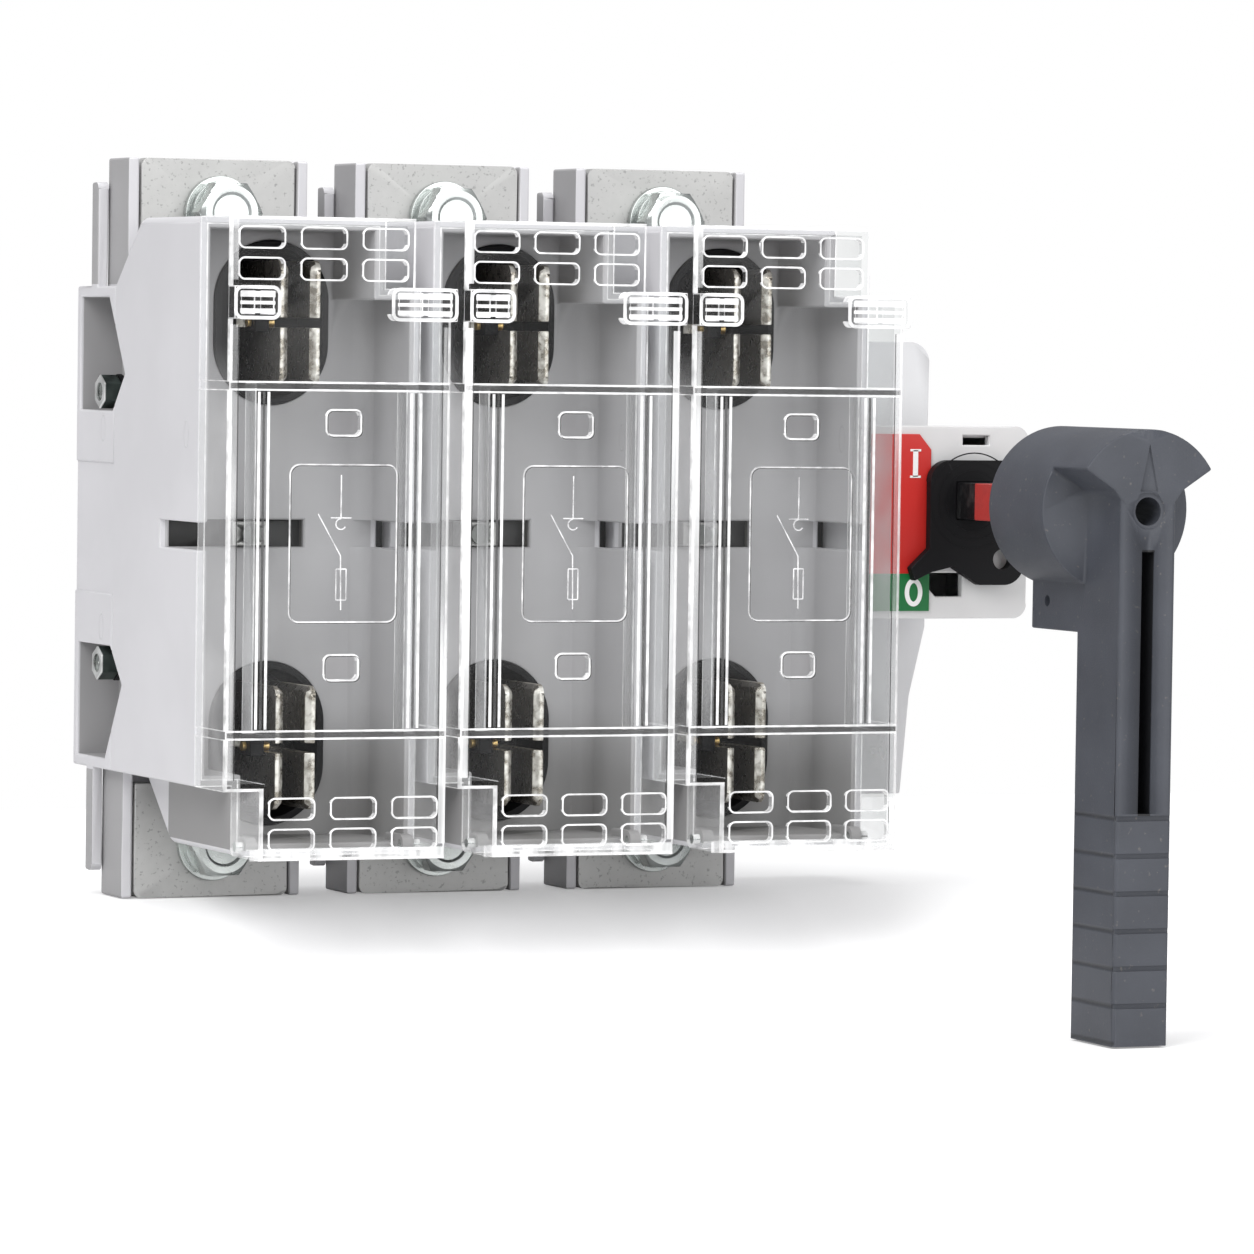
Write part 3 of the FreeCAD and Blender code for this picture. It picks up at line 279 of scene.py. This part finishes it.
def painted_highlight(name, least, most, stretch=(1.0, 1.0, 1.0)):
    """Painted highlight, pale and faintly glowing, for the edges and raised lines of clear plastic,
    where they gather light unevenly.
    """
    material = Material(name)
    cloud = material.spread(material.noise(220.0, 2.0, stretch), 0.35, 0.65)
    tone = material.mix(cloud, (0.80, 0.80, 0.80), (0.97, 0.97, 0.97))
    return material.finish(material.shader(**{
        "Base Color": tone, "Roughness": 0.25, "Alpha": cloud * (most - least) + least,
        "Emission Color": (1.0, 1.0, 1.0), "Emission Strength": 0.10}))


def edge_shadow(name):
    """Fine dark lines of painted shade where clear plastic bends the view into its own thickness.
    """
    material = Material(name)
    cloud = material.spread(material.noise(160.0, 2.0), 0.3, 0.7)
    tone = material.mix(cloud, (0.035, 0.035, 0.035), (0.09, 0.09, 0.09))
    return material.finish(material.shader(**{
        "Base Color": tone, "Roughness": 0.4, "Alpha": cloud * 0.3 + 0.45}))


def drive_metal(name, lug_start):
    """Drive bar: black along the poles, bare zinc on the lugs in front of it."""
    material = Material(name)
    lug = material.axis("Y") < lug_start
    cloud = material.spread(material.noise(120.0, 3.0), 0.3, 0.7)
    zinc = material.mix(cloud, (0.30, 0.30, 0.29), (0.46, 0.46, 0.45))
    black = material.mix(cloud, (0.006, 0.006, 0.006), (0.014, 0.014, 0.014))
    return material.finish(material.shader(**{
        "Base Color": material.mix(lug, black, zinc), "Metallic": lug * 0.8,
        "Roughness": cloud * 0.15 + 0.35,
        "Normal": material.bump(material.noise(700.0, 2.0), 0.15, 0.0001)}))


def jaw_metal(name):
    """Sprung contact plates with painted light by facing: front edges painted as bright mottled
    highlights, left sides painted dark as shaded mirrors.
    """
    material = Material(name)
    # Painted light: front faces painted bright, left faces painted dark, other sides in between.
    front = material.facing("Y") < -0.5
    left = material.facing("X") < -0.5
    cloud = material.spread(material.noise(420.0, 4.0), 0.38, 0.62)
    side = material.mix(cloud, (0.22, 0.20, 0.165), (0.44, 0.40, 0.33))
    side = material.mix(left, side, (0.13, 0.12, 0.105))
    edge = material.mix(cloud, (0.34, 0.31, 0.26), (0.88, 0.86, 0.80))
    return material.finish(material.shader(**{
        "Base Color": material.mix(front, side, edge), "Metallic": 0.75,
        "Roughness": cloud * 0.2 + 0.22,
        "Normal": material.bump(material.noise(1100.0, 3.0), 0.35, 0.0002)}))


GRIP_MARGIN, SLOT_HALF, SLOT_MOUTH_HALF = 1.5 * MM, 1.8 * MM, 2.1 * MM
SLOT_MOUTH, SLOT_TOP, SLOT_FOOT = -196.0 * MM, 0.0, -69.0 * MM


def handle_plastic(name, colour, first_groove, pitch):
    """Worn grey plastic with pale specks, grooves that run on round the grip's left side drawn as
    dents with painted shade in them, and painted shade filling the arm's slot.
    """
    material = Material(name)
    height = material.axis("Z")
    along = material.math("MODULO", (first_groove + pitch / 2) - height, pitch)
    near = material.math("ABSOLUTE", along - pitch / 2)
    grip = (height < first_groove + GRIP_MARGIN) * (material.facing("X") < -0.5)
    groove_dent_and_shade = (1.3 - near * 1600.0).clipped() * grip
    cloud = material.spread(material.noise(70.0, 5.0), 0.30, 0.70)
    fine = material.noise(2400.0, 3.0)
    wear = material.spread(material.noise(640.0, 4.0), 0.66, 0.78)
    tone = material.mix(cloud, shade(colour, 0.88), shade(colour, 1.10))
    tone = material.mix(wear * 0.6, tone, (0.22, 0.20, 0.175))
    # Painted shade in the grooves.
    tone = material.mix(groove_dent_and_shade * 0.65, tone, (0.008, 0.008, 0.010))
    # Painted shade: the arm's slot filled almost black.
    aside = material.math("ABSOLUTE", material.axis("X") - SHAFT_ACROSS)
    slot = (aside < SLOT_HALF) + (aside < SLOT_MOUTH_HALF) * (material.axis("Y") > SLOT_MOUTH)
    slot = slot.clipped() * (height < SLOT_TOP) * (height > SLOT_FOOT)
    tone = material.mix(slot * 0.92, tone, (0.004, 0.004, 0.005))
    relief = material.bump(fine * 0.25 + cloud * 0.1 - groove_dent_and_shade, 0.6, 0.0003)
    return material.finish(material.shader(**{
        "Base Color": tone, "Roughness": fine * 0.14 + 0.42, "IOR": 1.5, "Normal": relief}))


def nut_finish(name, face_start):
    """Dark passivated nut whose outer face, beyond face_start, is much paler."""
    material = Material(name)
    face = material.axis("X") < face_start
    cloud = material.spread(material.noise(200.0, 3.0), 0.3, 0.7)
    dark = material.mix(cloud, (0.05, 0.065, 0.06), (0.12, 0.15, 0.14))
    bright = material.mix(cloud, (0.55, 0.56, 0.55), (0.80, 0.81, 0.80))
    return material.finish(material.shader(**{
        "Base Color": material.mix(face, dark, bright), "Metallic": 0.85,
        "Roughness": cloud * 0.2 + 0.25,
        "Normal": material.bump(material.noise(900.0, 2.0), 0.15, 0.0001)}))


def shaft_steel(name, band_start):
    """Blackened steel with a red painted band where the shaft enters the handle."""
    material = Material(name)
    painted = material.axis("Y") < band_start
    wear = material.spread(material.noise(300.0, 3.0), 0.45, 0.75)
    steel = material.mix(wear, (0.022, 0.022, 0.024), (0.07, 0.07, 0.07))
    red = material.mix(wear, (0.42, 0.045, 0.04), (0.36, 0.05, 0.045))
    return material.finish(material.shader(**{
        "Base Color": material.mix(painted, steel, red), "Roughness": wear * 0.2 + 0.35,
        "Metallic": (1.0 - painted) * 0.6,
        "Normal": material.bump(material.noise(900.0, 2.0), 0.2, 0.0001)}))


def studio_white(name):
    """Pale ground that the camera sees as white wherever no shadow falls."""
    material = Material(name)
    seen = material.add("LightPath", output="Is Camera Ray")
    tone = material.mix(material.noise(3.0), (0.80, 0.80, 0.80), (0.82, 0.82, 0.82))
    ground = material.add("BsdfDiffuse", inputs={"Color": tone})
    glow = material.add("Emission", inputs={"Color": (1.0, 1.0, 1.0), "Strength": 0.30})
    lifted = material.add("AddShader", inputs={0: ground, 1: glow})
    return material.finish(material.add("MixShader", inputs={0: seen, 1: ground, 2: lifted}))


LUG_START, NUT_FACE, RED_BAND_START = -66.5 * MM, -95.3 * MM, -105.0 * MM
FIRST_GROOVE, GROOVE_PITCH = -69.7 * MM, 9.75 * MM
FINISH = {
    "housing": pole_plastic("housing", (0.62, 0.615, 0.635)),
    "plate_grey": moulded("plate_grey", (0.66, 0.66, 0.66), 0.45),
    "clear_cover": clear_plastic("clear_cover", 0.012, (0.95, 0.955, 0.955)),
    "tinned_copper": plated("tinned_copper", (0.50, 0.50, 0.49), 0.50, specks=0.5, metallic=0.6),
    "silvered_copper": jaw_metal("silvered_copper"),
    "black_plastic": moulded("black_plastic", (0.006, 0.006, 0.007), 0.55, specks=0.1, gloss=0.18),
    "zinc_steel": plated("zinc_steel", (0.54, 0.57, 0.555), 0.26, mottling=0.2),
    "brass": plated("brass", (0.66, 0.47, 0.20), 0.32),
    "strip_red": moulded("strip_red", (0.56, 0.022, 0.017), 0.40),
    "strip_green": moulded("strip_green", (0.003, 0.15, 0.036), 0.40),
    "black_steel": shaft_steel("black_steel", RED_BAND_START),
    "handle_grey": handle_plastic("handle_grey", (0.058, 0.063, 0.077), FIRST_GROOVE, GROOVE_PITCH),
}
CASE_PLASTIC = moulded("case_plastic", (0.66, 0.66, 0.67), 0.46)
# Painted highlights for the cover edges, the drawn lines and the edge strips.
EDGE_HIGHLIGHT = painted_highlight("edge_highlight", 0.50, 0.85)
LINE_HIGHLIGHT = painted_highlight("line_highlight", 0.22, 0.62)
BAND_HIGHLIGHT = painted_highlight("band_highlight", 0.12, 0.62, (1.0, 1.0, 0.06))
# Painted shade lines beside the cover's edges and raised lines.
EDGE_DARK = edge_shadow("edge_dark")
PRINT_WHITE = moulded("print_white", (0.86, 0.86, 0.85), 0.45)
OWN_FINISH = {
    "mechanism_case": CASE_PLASTIC,
    "drive_bar": drive_metal("drive_metal", LUG_START),
    "tie_nuts": nut_finish("nut_finish", NUT_FACE),
    "tie_washers": FINISH["black_plastic"],
    "drive_screws": plated("screw_finish", (0.16, 0.165, 0.16), 0.42, mottling=0.3),
}


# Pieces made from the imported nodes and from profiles

def body_of(node):
    return frame["nodes"][node]["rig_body"]


def slot_of(node):
    return next(part["material_slot"] for part in frame["record"]["subparts"]
                if part["node"] == node)


SMOOTH_UP_TO = math.radians(32.0)


def new_piece(name, bm, slot, body, *materials):
    bmesh.ops.recalc_face_normals(bm, faces=bm.faces)
    mesh = bpy.data.meshes.new(name)
    bm.to_mesh(mesh)
    bm.free()
    mesh.shade_smooth()
    mesh.set_sharp_from_angle(angle=SMOOTH_UP_TO)
    for material in materials or (FINISH[slot],):
        mesh.materials.append(material)
    piece = bpy.data.objects.new(name, mesh)
    bpy.context.scene.collection.objects.link(piece)
    even = piece.modifiers.new("even_shading", "WEIGHTED_NORMAL")
    even.keep_sharp = True
    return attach(piece, body)


def inside(place, box):
    return all(low < value < high for low, value, high in zip(box[0], place, box[1]))


def softened(node, width, *materials, crisp=None):
    """The node's own shape with rounded outer edges, apart from those in the crisp box."""
    bm = bmesh.new()
    bm.from_mesh(frame["nodes"][node].data)
    bmesh.ops.remove_doubles(bm, verts=bm.verts, dist=2e-6)
    bmesh.ops.dissolve_limit(bm, angle_limit=math.radians(0.4), verts=bm.verts, edges=bm.edges)
    sharp = [edge for edge in bm.edges
             if len(edge.link_faces) == 2 and edge.calc_face_angle(0.0) > math.radians(28)]
    sharp = [edge for edge in sharp if edge.is_convex and edge.calc_length() > 2.5 * width * MM]
    if crisp:
        sharp = [edge for edge in sharp if not all(inside(vert.co, crisp) for vert in edge.verts)]
    bmesh.ops.bevel(bm, geom=sharp, offset=width * MM, offset_type="OFFSET", segments=2,
                    profile=0.5, affect="EDGES", clamp_overlap=False, material=-1)
    bmesh.ops.triangulate(bm, faces=[face for face in bm.faces if len(face.verts) > 4])
    # With a second finish, the rounded edge faces take it; on the covers that gives them a painted
    # highlight.
    if len(materials) > 1:
        for face in bm.faces:
            face.material_index = int(max(abs(part) for part in face.normal) < 0.98)
    piece = new_piece(node + "_shape", bm, slot_of(node), body_of(node), *materials)
    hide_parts(node)
    return piece


def hex_limit(angle, flats):
    """How far a hexagon with that width across flats reaches in a direction."""
    turn = math.radians(60)
    return flats / 2 / math.cos((angle % turn) - turn / 2)


def turned(bm, profile, centre, flats, steps=48):
    """A closed turned form about the front-to-back axis, cut to a hexagon of those flats."""
    rings = []
    for radius, depth in profile:
        ring = []
        for step in range(steps):
            angle = 2 * math.pi * step / steps
            reach = min(radius, hex_limit(angle, flats))
            ring.append(bm.verts.new((centre[0] + reach * math.cos(angle), depth,
                                      centre[1] + reach * math.sin(angle))))
        rings.append(ring)
    for low, high in zip(rings, rings[1:]):
        for step in range(steps):
            after = (step + 1) % steps
            bm.faces.new((low[step], low[after], high[after], high[step]))
    bm.faces.new(rings[0])
    bm.faces.new(rings[-1])


SOFT_EDGES = {
    "mechanism_case": 0.6, "mechanism_plate": 0.4, "position_strip_on": 0.15,
    "position_strip_off": 0.15, "position_plate": 0.4, "crank_disc": 0.3, "crank_pin": 0.3,
    "drive_shaft": 0.3, "drive_bar": 0.3, "handle": 0.5, "contact_shrouds": 0.3,
    "terminal_nuts": 0.3, "terminal_flat_washers": 0.25, "terminal_spring_washers": 0.2,
    "tie_nuts": 0.3, "tie_washers": 0.15, "tie_rods": 0.2, "jaw_screws": 0.2,
    "jaw_spring_blocks": 0.4, "jaw_pins": 0.2, "hinge_pins": 0.15, "mounting_inserts": 0.2,
    "lock_screw": 0.2, "drive_screws": 0.3,
}
for number in (1, 2, 3):
    SOFT_EDGES["pole_base_%d" % number] = 0.6
    SOFT_EDGES["pole_housing_%d" % number] = 0.6
    for sign, level in SIDES:
        SOFT_EDGES["terminal_plate_%s_%d" % (level, number)] = 0.4
        SOFT_EDGES["fuse_jaw_%s_%d" % (level, number)] = 0.3
HANDLE_LOW, HANDLE_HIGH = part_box("handle")
CRISP_HALF, CRISP_BACK = 5.5 * MM, -190.0 * MM
CRISP = {"handle": ((SHAFT_ACROSS - CRISP_HALF, HANDLE_LOW.y - MM, HANDLE_LOW.z),
                    (SHAFT_ACROSS + CRISP_HALF, CRISP_BACK, HANDLE_HIGH.z))}
for node, width in SOFT_EDGES.items():
    softened(node, width, OWN_FINISH.get(node) or FINISH[slot_of(node)], crisp=CRISP.get(node))


# Covers: clear shells with painted highlights on their edges, and a label field and the switch
# symbol on the front drawn in painted highlight and shadow lines

COVER_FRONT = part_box("fuse_cover_1")[0].y + 3.95 * MM
LINE, RAISED = 0.32 * MM, 0.08 * MM


def rounded_field(x0, x1, z0, z1, corner, steps=6):
    points = []
    for x, z, start in ((x1 - corner, z1 - corner, 0), (x0 + corner, z1 - corner, 90),
                        (x0 + corner, z0 + corner, 180), (x1 - corner, z0 + corner, 270)):
        for step in range(steps + 1):
            angle = math.radians(start + 90 * step / steps)
            points.append((x + corner * math.cos(angle), z + corner * math.sin(angle)))
    return points


def arc(x, z, radius, start, end, steps=10):
    angles = [math.radians(start + (end - start) * step / steps) for step in range(steps + 1)]
    return [(x + radius * math.cos(angle), z + radius * math.sin(angle)) for angle in angles]


def stroke(bm, points, width, front, depth, closed=False):
    """A raised line of even width along points of the front plane."""
    count = len(points)
    rows = []
    for index, (x, z) in enumerate(points):
        before = points[index - 1] if index or closed else points[index]
        after = points[(index + 1) % count] if index < count - 1 or closed else points[index]
        along = Vector((after[0] - before[0], after[1] - before[1])).normalized()
        side = Vector((-along.y, along.x)) * (width / 2)
        rows.append([bm.verts.new((x + side.x * sign, y, z + side.y * sign))
                     for y in (front, front + depth) for sign in (1, -1)])
    order = (0, 1, 3, 2)
    for index in range(count if closed else count - 1):
        low, high = rows[index], rows[(index + 1) % count]
        for corner in range(4):
            a, b = order[corner], order[(corner + 1) % 4]
            bm.faces.new((low[a], low[b], high[b], high[a]))
    if not closed:
        for row in (rows[0], rows[-1]):
            bm.faces.new([row[corner] for corner in order])


def switch_symbol(bm, x):
    """Supply line, contact with its blade, and a fuse below it."""
    lines = [[(x + 0.5, 16.7), (x + 0.5, 5.6)], [(x - 2.3, 5.6), (x + 3.4, 5.6)],
             arc(x + 0.5, 4.0, 1.4, 90, 330), [(x - 5.8, 6.6), (x + 0.5, -4.2)],
             [(x + 0.5, -4.2), (x + 0.7, -18.2)]]
    for line in lines:
        stroke(bm, [(a * MM, b * MM) for a, b in line], LINE, COVER_FRONT, RAISED)
    fuse = rounded_field((x - 0.7) * MM, (x + 2.1) * MM, -15.6 * MM, -7.6 * MM, 0.2 * MM)
    stroke(bm, fuse, LINE, COVER_FRONT, RAISED, closed=True)


def outline_field(bm, x, z, wide, tall, corner, width, front=0.0):
    """A rounded rectangle of raised line round the centre x, z, in millimetres."""
    points = rounded_field((x - wide / 2) * MM, (x + wide / 2) * MM, (z - tall / 2) * MM,
                           (z + tall / 2) * MM, corner * MM)
    stroke(bm, points, width * MM, COVER_FRONT - front * MM, RAISED, closed=True)


def straight(bm, x0, z0, x1, z1, width, front=0.0):
    ends = [(x0 * MM, z0 * MM), (x1 * MM, z1 * MM)]
    stroke(bm, ends, width * MM, COVER_FRONT - front * MM, RAISED)


VENT_COLUMNS, VENT_ROWS = (-21.95, -4.95, 12.05), (77.5, 69.5)
WINDOWS = ((1.0, 30.1), (1.0, -33.1))
VENT, WINDOW, LABEL = (12.5, 5.5, 1.6), (9.6, 6.6, 1.6), (29.5, 40.6, 2.6)
BANDS = (39.4, -50.4)
BAND_HALF, RAIL_HALF, RAIL_GAP = 30.2, 1.3, 1.5
RAIL_SPOTS = (-21.0, 21.0)
GRIPS = ((-30.4, -18.5), (12.8, 30.4))
GRIP_BARS = ((58.6, 1.2), (60.7, 0.9), (62.9, 1.5))
GRIP_MIDDLE, GRIP_TALL, GRIP_CORNER, GRIP_FRONT = 60.75, 7.8, 1.8, 3.9
EDGE_HIGHLIGHT_STRIPS = ((-29.4, -62.0, 55.0, 2.1), (29.5, -79.0, 55.0, 1.9), (-29.4, 66.5, 83.0, 2.1))


def cover_highlight_lines(bm, x):
    """Painted highlights on the edges of the windows, vents, raised bands, rails and finger grips.
    """
    for across, up in WINDOWS:
        outline_field(bm, x + across, up, *WINDOW, 0.5)
    for turn in (1, -1):
        for column in VENT_COLUMNS:
            for row in VENT_ROWS:
                outline_field(bm, x + column * turn, row * turn, *VENT, 0.45)
    for height in BANDS:
        for shift in (-1.0, 1.0):
            straight(bm, x - BAND_HALF, height + shift, x + BAND_HALF, height + shift, 0.5)
    for across in RAIL_SPOTS:
        for spot in (x + across - RAIL_HALF, x + across + RAIL_HALF):
            straight(bm, spot, BANDS[1] + RAIL_GAP, spot, BANDS[0] - RAIL_GAP, 0.75)
    for left, right in GRIPS:
        middle, wide = x + (left + right) / 2, right - left
        outline_field(bm, middle, GRIP_MIDDLE, wide, GRIP_TALL, GRIP_CORNER, 0.9, GRIP_FRONT)
        for height, width in GRIP_BARS:
            straight(bm, x + left + 1.2, height, x + right - 1.2, height, width, GRIP_FRONT)


def cover(number, x):
    """One clear cover, with its middle at x in millimetres."""
    node = "fuse_cover_%d" % number
    shell = softened(node, 0.3, FINISH["clear_cover"], EDGE_HIGHLIGHT)
    bright, dark, fine, band = (bmesh.new() for _ in range(4))
    # Painted highlights on the edges of the windows, vents, bands, rails and grips.
    cover_highlight_lines(bright, x)
    # Painted highlight lines draw the label field and the switch symbol.
    outline_field(fine, x + 1.15, -1.0, *LABEL, 0.4)
    switch_symbol(fine, x)
    # Painted shadow lines: offset below and right of the label field and windows, and along the
    # bands and rails.
    outline_field(dark, x + 1.45, -1.3, *LABEL, 0.22)
    for across, up in WINDOWS:
        outline_field(dark, x + across + 0.35, up - 0.35, *WINDOW, 0.3)
    for height in BANDS:
        straight(dark, x - 30.0, height, x + 30.0, height, 1.2)
    for across in RAIL_SPOTS:
        straight(dark, x + across, BANDS[1] + RAIL_GAP, x + across, BANDS[0] - RAIL_GAP, 0.7)
    # Painted highlight strips down the side edges and along the foot of the cover.
    for across, low, high, width in EDGE_HIGHLIGHT_STRIPS:
        straight(band, x + across, low, x + across, high, width)
    straight(band, x - 23.5, -81.3, x + 30.0, -81.3, 3.0)
    # Painted shadow lines beside the side edges.
    straight(dark, x - 28.1, -62.0, x - 28.1, 55.0, 0.28)
    straight(dark, x + 28.3, -79.0, x + 28.3, 55.0, 0.22)
    lines = (("marks", bright, EDGE_HIGHLIGHT), ("symbol", fine, LINE_HIGHLIGHT),
             ("edge_highlight_strips", band, BAND_HIGHLIGHT), ("shadow_lines", dark, EDGE_DARK))
    pieces = [new_piece("cover_%s_%d" % (kind, number), bm, "clear_cover", body_of(node), finish)
              for kind, bm, finish in lines]
    for piece in [shell] + pieces:
        piece.visible_shadow = False
        piece.visible_diffuse = False


for number, place in enumerate(POLE_PLACES, 1):
    cover(number, place / MM)


# Position marks on the coloured strips, and turned rings on the position plate

def position_marks():
    red_low, red_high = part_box("position_strip_on")
    green_low, green_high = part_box("position_strip_off")
    front, depth = red_low.y, 0.12 * MM
    centre = (red_low.x + red_high.x) / 2 + 4.2 * MM
    bm = bmesh.new()
    one, half, serif = (red_low.z + red_high.z) / 2 + 11.0 * MM, 3.6 * MM, 1.6 * MM
    stroke(bm, [(centre, one - half), (centre, one + half)], 1.5 * MM, front - depth, depth)
    for end in (one - half, one + half):
        stroke(bm, [(centre - serif, end), (centre + serif, end)], 0.6 * MM, front - depth, depth)
    zero, half_wide, half_tall = (green_low.z + green_high.z) / 2, 2.0 * MM, 3.2 * MM
    oval = [(centre + half_wide * math.cos(turn), zero + half_tall * math.sin(turn))
            for turn in (2 * math.pi * step / 28 for step in range(28))]
    stroke(bm, oval, 1.3 * MM, front - depth, depth, closed=True)
    new_piece("position_marks", bm, "strip_red", "base", PRINT_WHITE)


def plate_rings():
    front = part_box("position_plate")[0].y
    shaft_low, shaft_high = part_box("drive_shaft")
    x, z = (shaft_low.x + shaft_high.x) / 2, (shaft_low.z + shaft_high.z) / 2
    bm = bmesh.new()
    for radius in (8.2 * MM, 10.6 * MM, 13.0 * MM):
        ring = [(x + radius * math.cos(turn), z + radius * math.sin(turn))
                for turn in (2 * math.pi * step / 64 for step in range(64))]
        stroke(bm, ring, 0.35 * MM, front - RAISED, RAISED, closed=True)
    new_piece("position_plate_rings", bm, "black_plastic", "handle_shaft")


position_marks()
plate_rings()


# Shroud floors: black webs that close each contact shroud behind its jaw

WEB_SIZE, WEB_CORNER = (29.0 * MM, 0.8 * MM, 40.0 * MM), 6.0 * MM
WEB_MIDDLE, WEB_DEPTH = 55.75 * MM, 0.5 * MM


def shroud_floors():
    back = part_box("contact_shrouds")[1].y
    bm = bmesh.new()
    for across in POLE_PLACES:
        for sign, _ in SIDES:
            made = bmesh.ops.create_cube(bm, size=1.0)["verts"]
            bmesh.ops.scale(bm, vec=WEB_SIZE, verts=made)
            corners = [edge for edge in {edge for vert in made for edge in vert.link_edges}
                       if abs((edge.verts[0].co - edge.verts[1].co).y) > WEB_SIZE[1] / 2]
            place = Vector((across, back - WEB_DEPTH, WEB_MIDDLE * sign))
            bmesh.ops.translate(bm, vec=place, verts=made)
            bmesh.ops.bevel(bm, geom=corners, offset=WEB_CORNER, offset_type="OFFSET", segments=6,
                            profile=0.5, affect="EDGES", clamp_overlap=False, material=-1)
    new_piece("shroud_floors", bm, "black_plastic", "base")


shroud_floors()


# Terminal bolts: chamfered hexagon heads with a dished face, on plain shanks

def terminal_bolts():
    low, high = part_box("terminal_bolts")
    head_front, head_back = low.y, low.y + 6.4 * MM
    flats, corners, shank = 16 * MM, 9.5 * MM, 5.0 * MM
    crown, dish = 7.4 * MM, 5.4 * MM
    profile = [(dish * 0.2, head_front + 0.7 * MM), (dish * 0.9, head_front + 0.6 * MM),
               (dish, head_front + 0.1 * MM), (dish + 0.3 * MM, head_front), (crown, head_front)]
    for step in (1, 2, 3, 4):
        drop = 0.35 * MM * step
        profile.append((crown + drop * 1.5, head_front + drop))
    profile += [(corners, head_back), (shank, head_back), (shank, high.y)]
    bm = bmesh.new()
    height = (low.z + high.z) / 2
    reach = high.z - height - flats / 2
    first = low.x + flats / math.sqrt(3)
    for column in range(3):
        for sign, _ in SIDES:
            across = first + POLE_PITCH * column
            turned(bm, profile, (across, height + reach * sign), flats)
    piece = new_piece("terminal_bolt_heads", bm, "zinc_steel", "base")
    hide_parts("terminal_bolts")


terminal_bolts()


# Stage, lamps and camera

FLOOR_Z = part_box("handle")[0].z - 0.5 * MM
LEDGE_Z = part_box("pole_base_1")[0].z - 0.2 * MM
SLOPE_FRONT, SLOPE_BACK = -150.0 * MM, -31.0 * MM
CAMERA_PLACE = (-0.6960, -1.7623, 0.0525)
CAMERA_AZIMUTH, CAMERA_PITCH, CAMERA_ROLL = 23.448, 2.411, 0.81
FOCAL_LENGTH, SENSOR = 195.77, 36.0


def ground():
    """One pale surface: level under the poles, then a soft slope down to the handle's foot."""
    bm = bmesh.new()
    bmesh.ops.create_grid(bm, x_segments=1, y_segments=200, size=1.0)
    for vert in bm.verts:
        x, y = vert.co.x * 1.1 + 0.1, vert.co.y * 0.80 - 0.50
        share = min(1.0, max(0.0, (y - SLOPE_FRONT) / (SLOPE_BACK - SLOPE_FRONT)))
        vert.co = (x, y, FLOOR_Z + (LEDGE_Z - FLOOR_Z) * share * share * (3.0 - 2.0 * share))
    mesh = bpy.data.meshes.new("ground")
    bm.to_mesh(mesh)
    bm.free()
    mesh.shade_smooth()
    mesh.materials.append(studio_white("studio_white"))
    floor = bpy.data.objects.new("ground", mesh)
    bpy.context.scene.collection.objects.link(floor)


ground()


def lamp(name, place, target, size, power):
    data = bpy.data.lights.new(name, "AREA")
    data.shape = "RECTANGLE"
    data.size, data.size_y = size
    data.energy = power
    item = bpy.data.objects.new(name, data)
    item.location = place
    aim = Vector(target) - Vector(place)
    item.rotation_euler = aim.to_track_quat("-Z", "Y").to_euler()
    bpy.context.scene.collection.objects.link(item)


lamp("key", (-1.3, -1.0, 1.3), (0.0, -0.05, 0.0), (1.2, 1.2), 26.0)
lamp("front", (0.5, -2.2, 0.6), (0.03, -0.05, 0.0), (1.6, 1.2), 17.0)
lamp("top", (0.1, -0.2, 1.6), (0.03, -0.05, 0.0), (1.4, 1.0), 15.0)


def surroundings():
    """White to the camera, a soft grey room to every other ray."""
    world = bpy.data.worlds.new("room")
    world.use_nodes = True
    tree = world.node_tree
    tree.nodes.clear()
    path = tree.nodes.new("ShaderNodeLightPath")
    room = tree.nodes.new("ShaderNodeBackground")
    room.inputs["Color"].default_value = (0.98, 0.98, 1.0, 1.0)
    room.inputs["Strength"].default_value = 0.46
    white = tree.nodes.new("ShaderNodeBackground")
    white.inputs["Color"].default_value = (1.0, 1.0, 1.0, 1.0)
    choice = tree.nodes.new("ShaderNodeMixShader")
    output = tree.nodes.new("ShaderNodeOutputWorld")
    tree.links.new(path.outputs["Is Camera Ray"], choice.inputs[0])
    tree.links.new(room.outputs[0], choice.inputs[1])
    tree.links.new(white.outputs[0], choice.inputs[2])
    tree.links.new(choice.outputs[0], output.inputs["Surface"])
    bpy.context.scene.world = world


def camera():
    data = bpy.data.cameras.new("camera")
    data.sensor_width = SENSOR
    data.lens = FOCAL_LENGTH
    data.clip_end = 20.0
    item = bpy.data.objects.new("camera", data)
    turn = (Matrix.Rotation(math.radians(-CAMERA_AZIMUTH), 4, "Z")
            @ Matrix.Rotation(math.radians(90 - CAMERA_PITCH), 4, "X")
            @ Matrix.Rotation(math.radians(CAMERA_ROLL), 4, "Z"))
    item.matrix_world = Matrix.Translation(CAMERA_PLACE) @ turn
    bpy.context.scene.collection.objects.link(item)
    bpy.context.scene.camera = item


surroundings()
camera()
bpy.context.scene.view_settings.view_transform = "Standard"
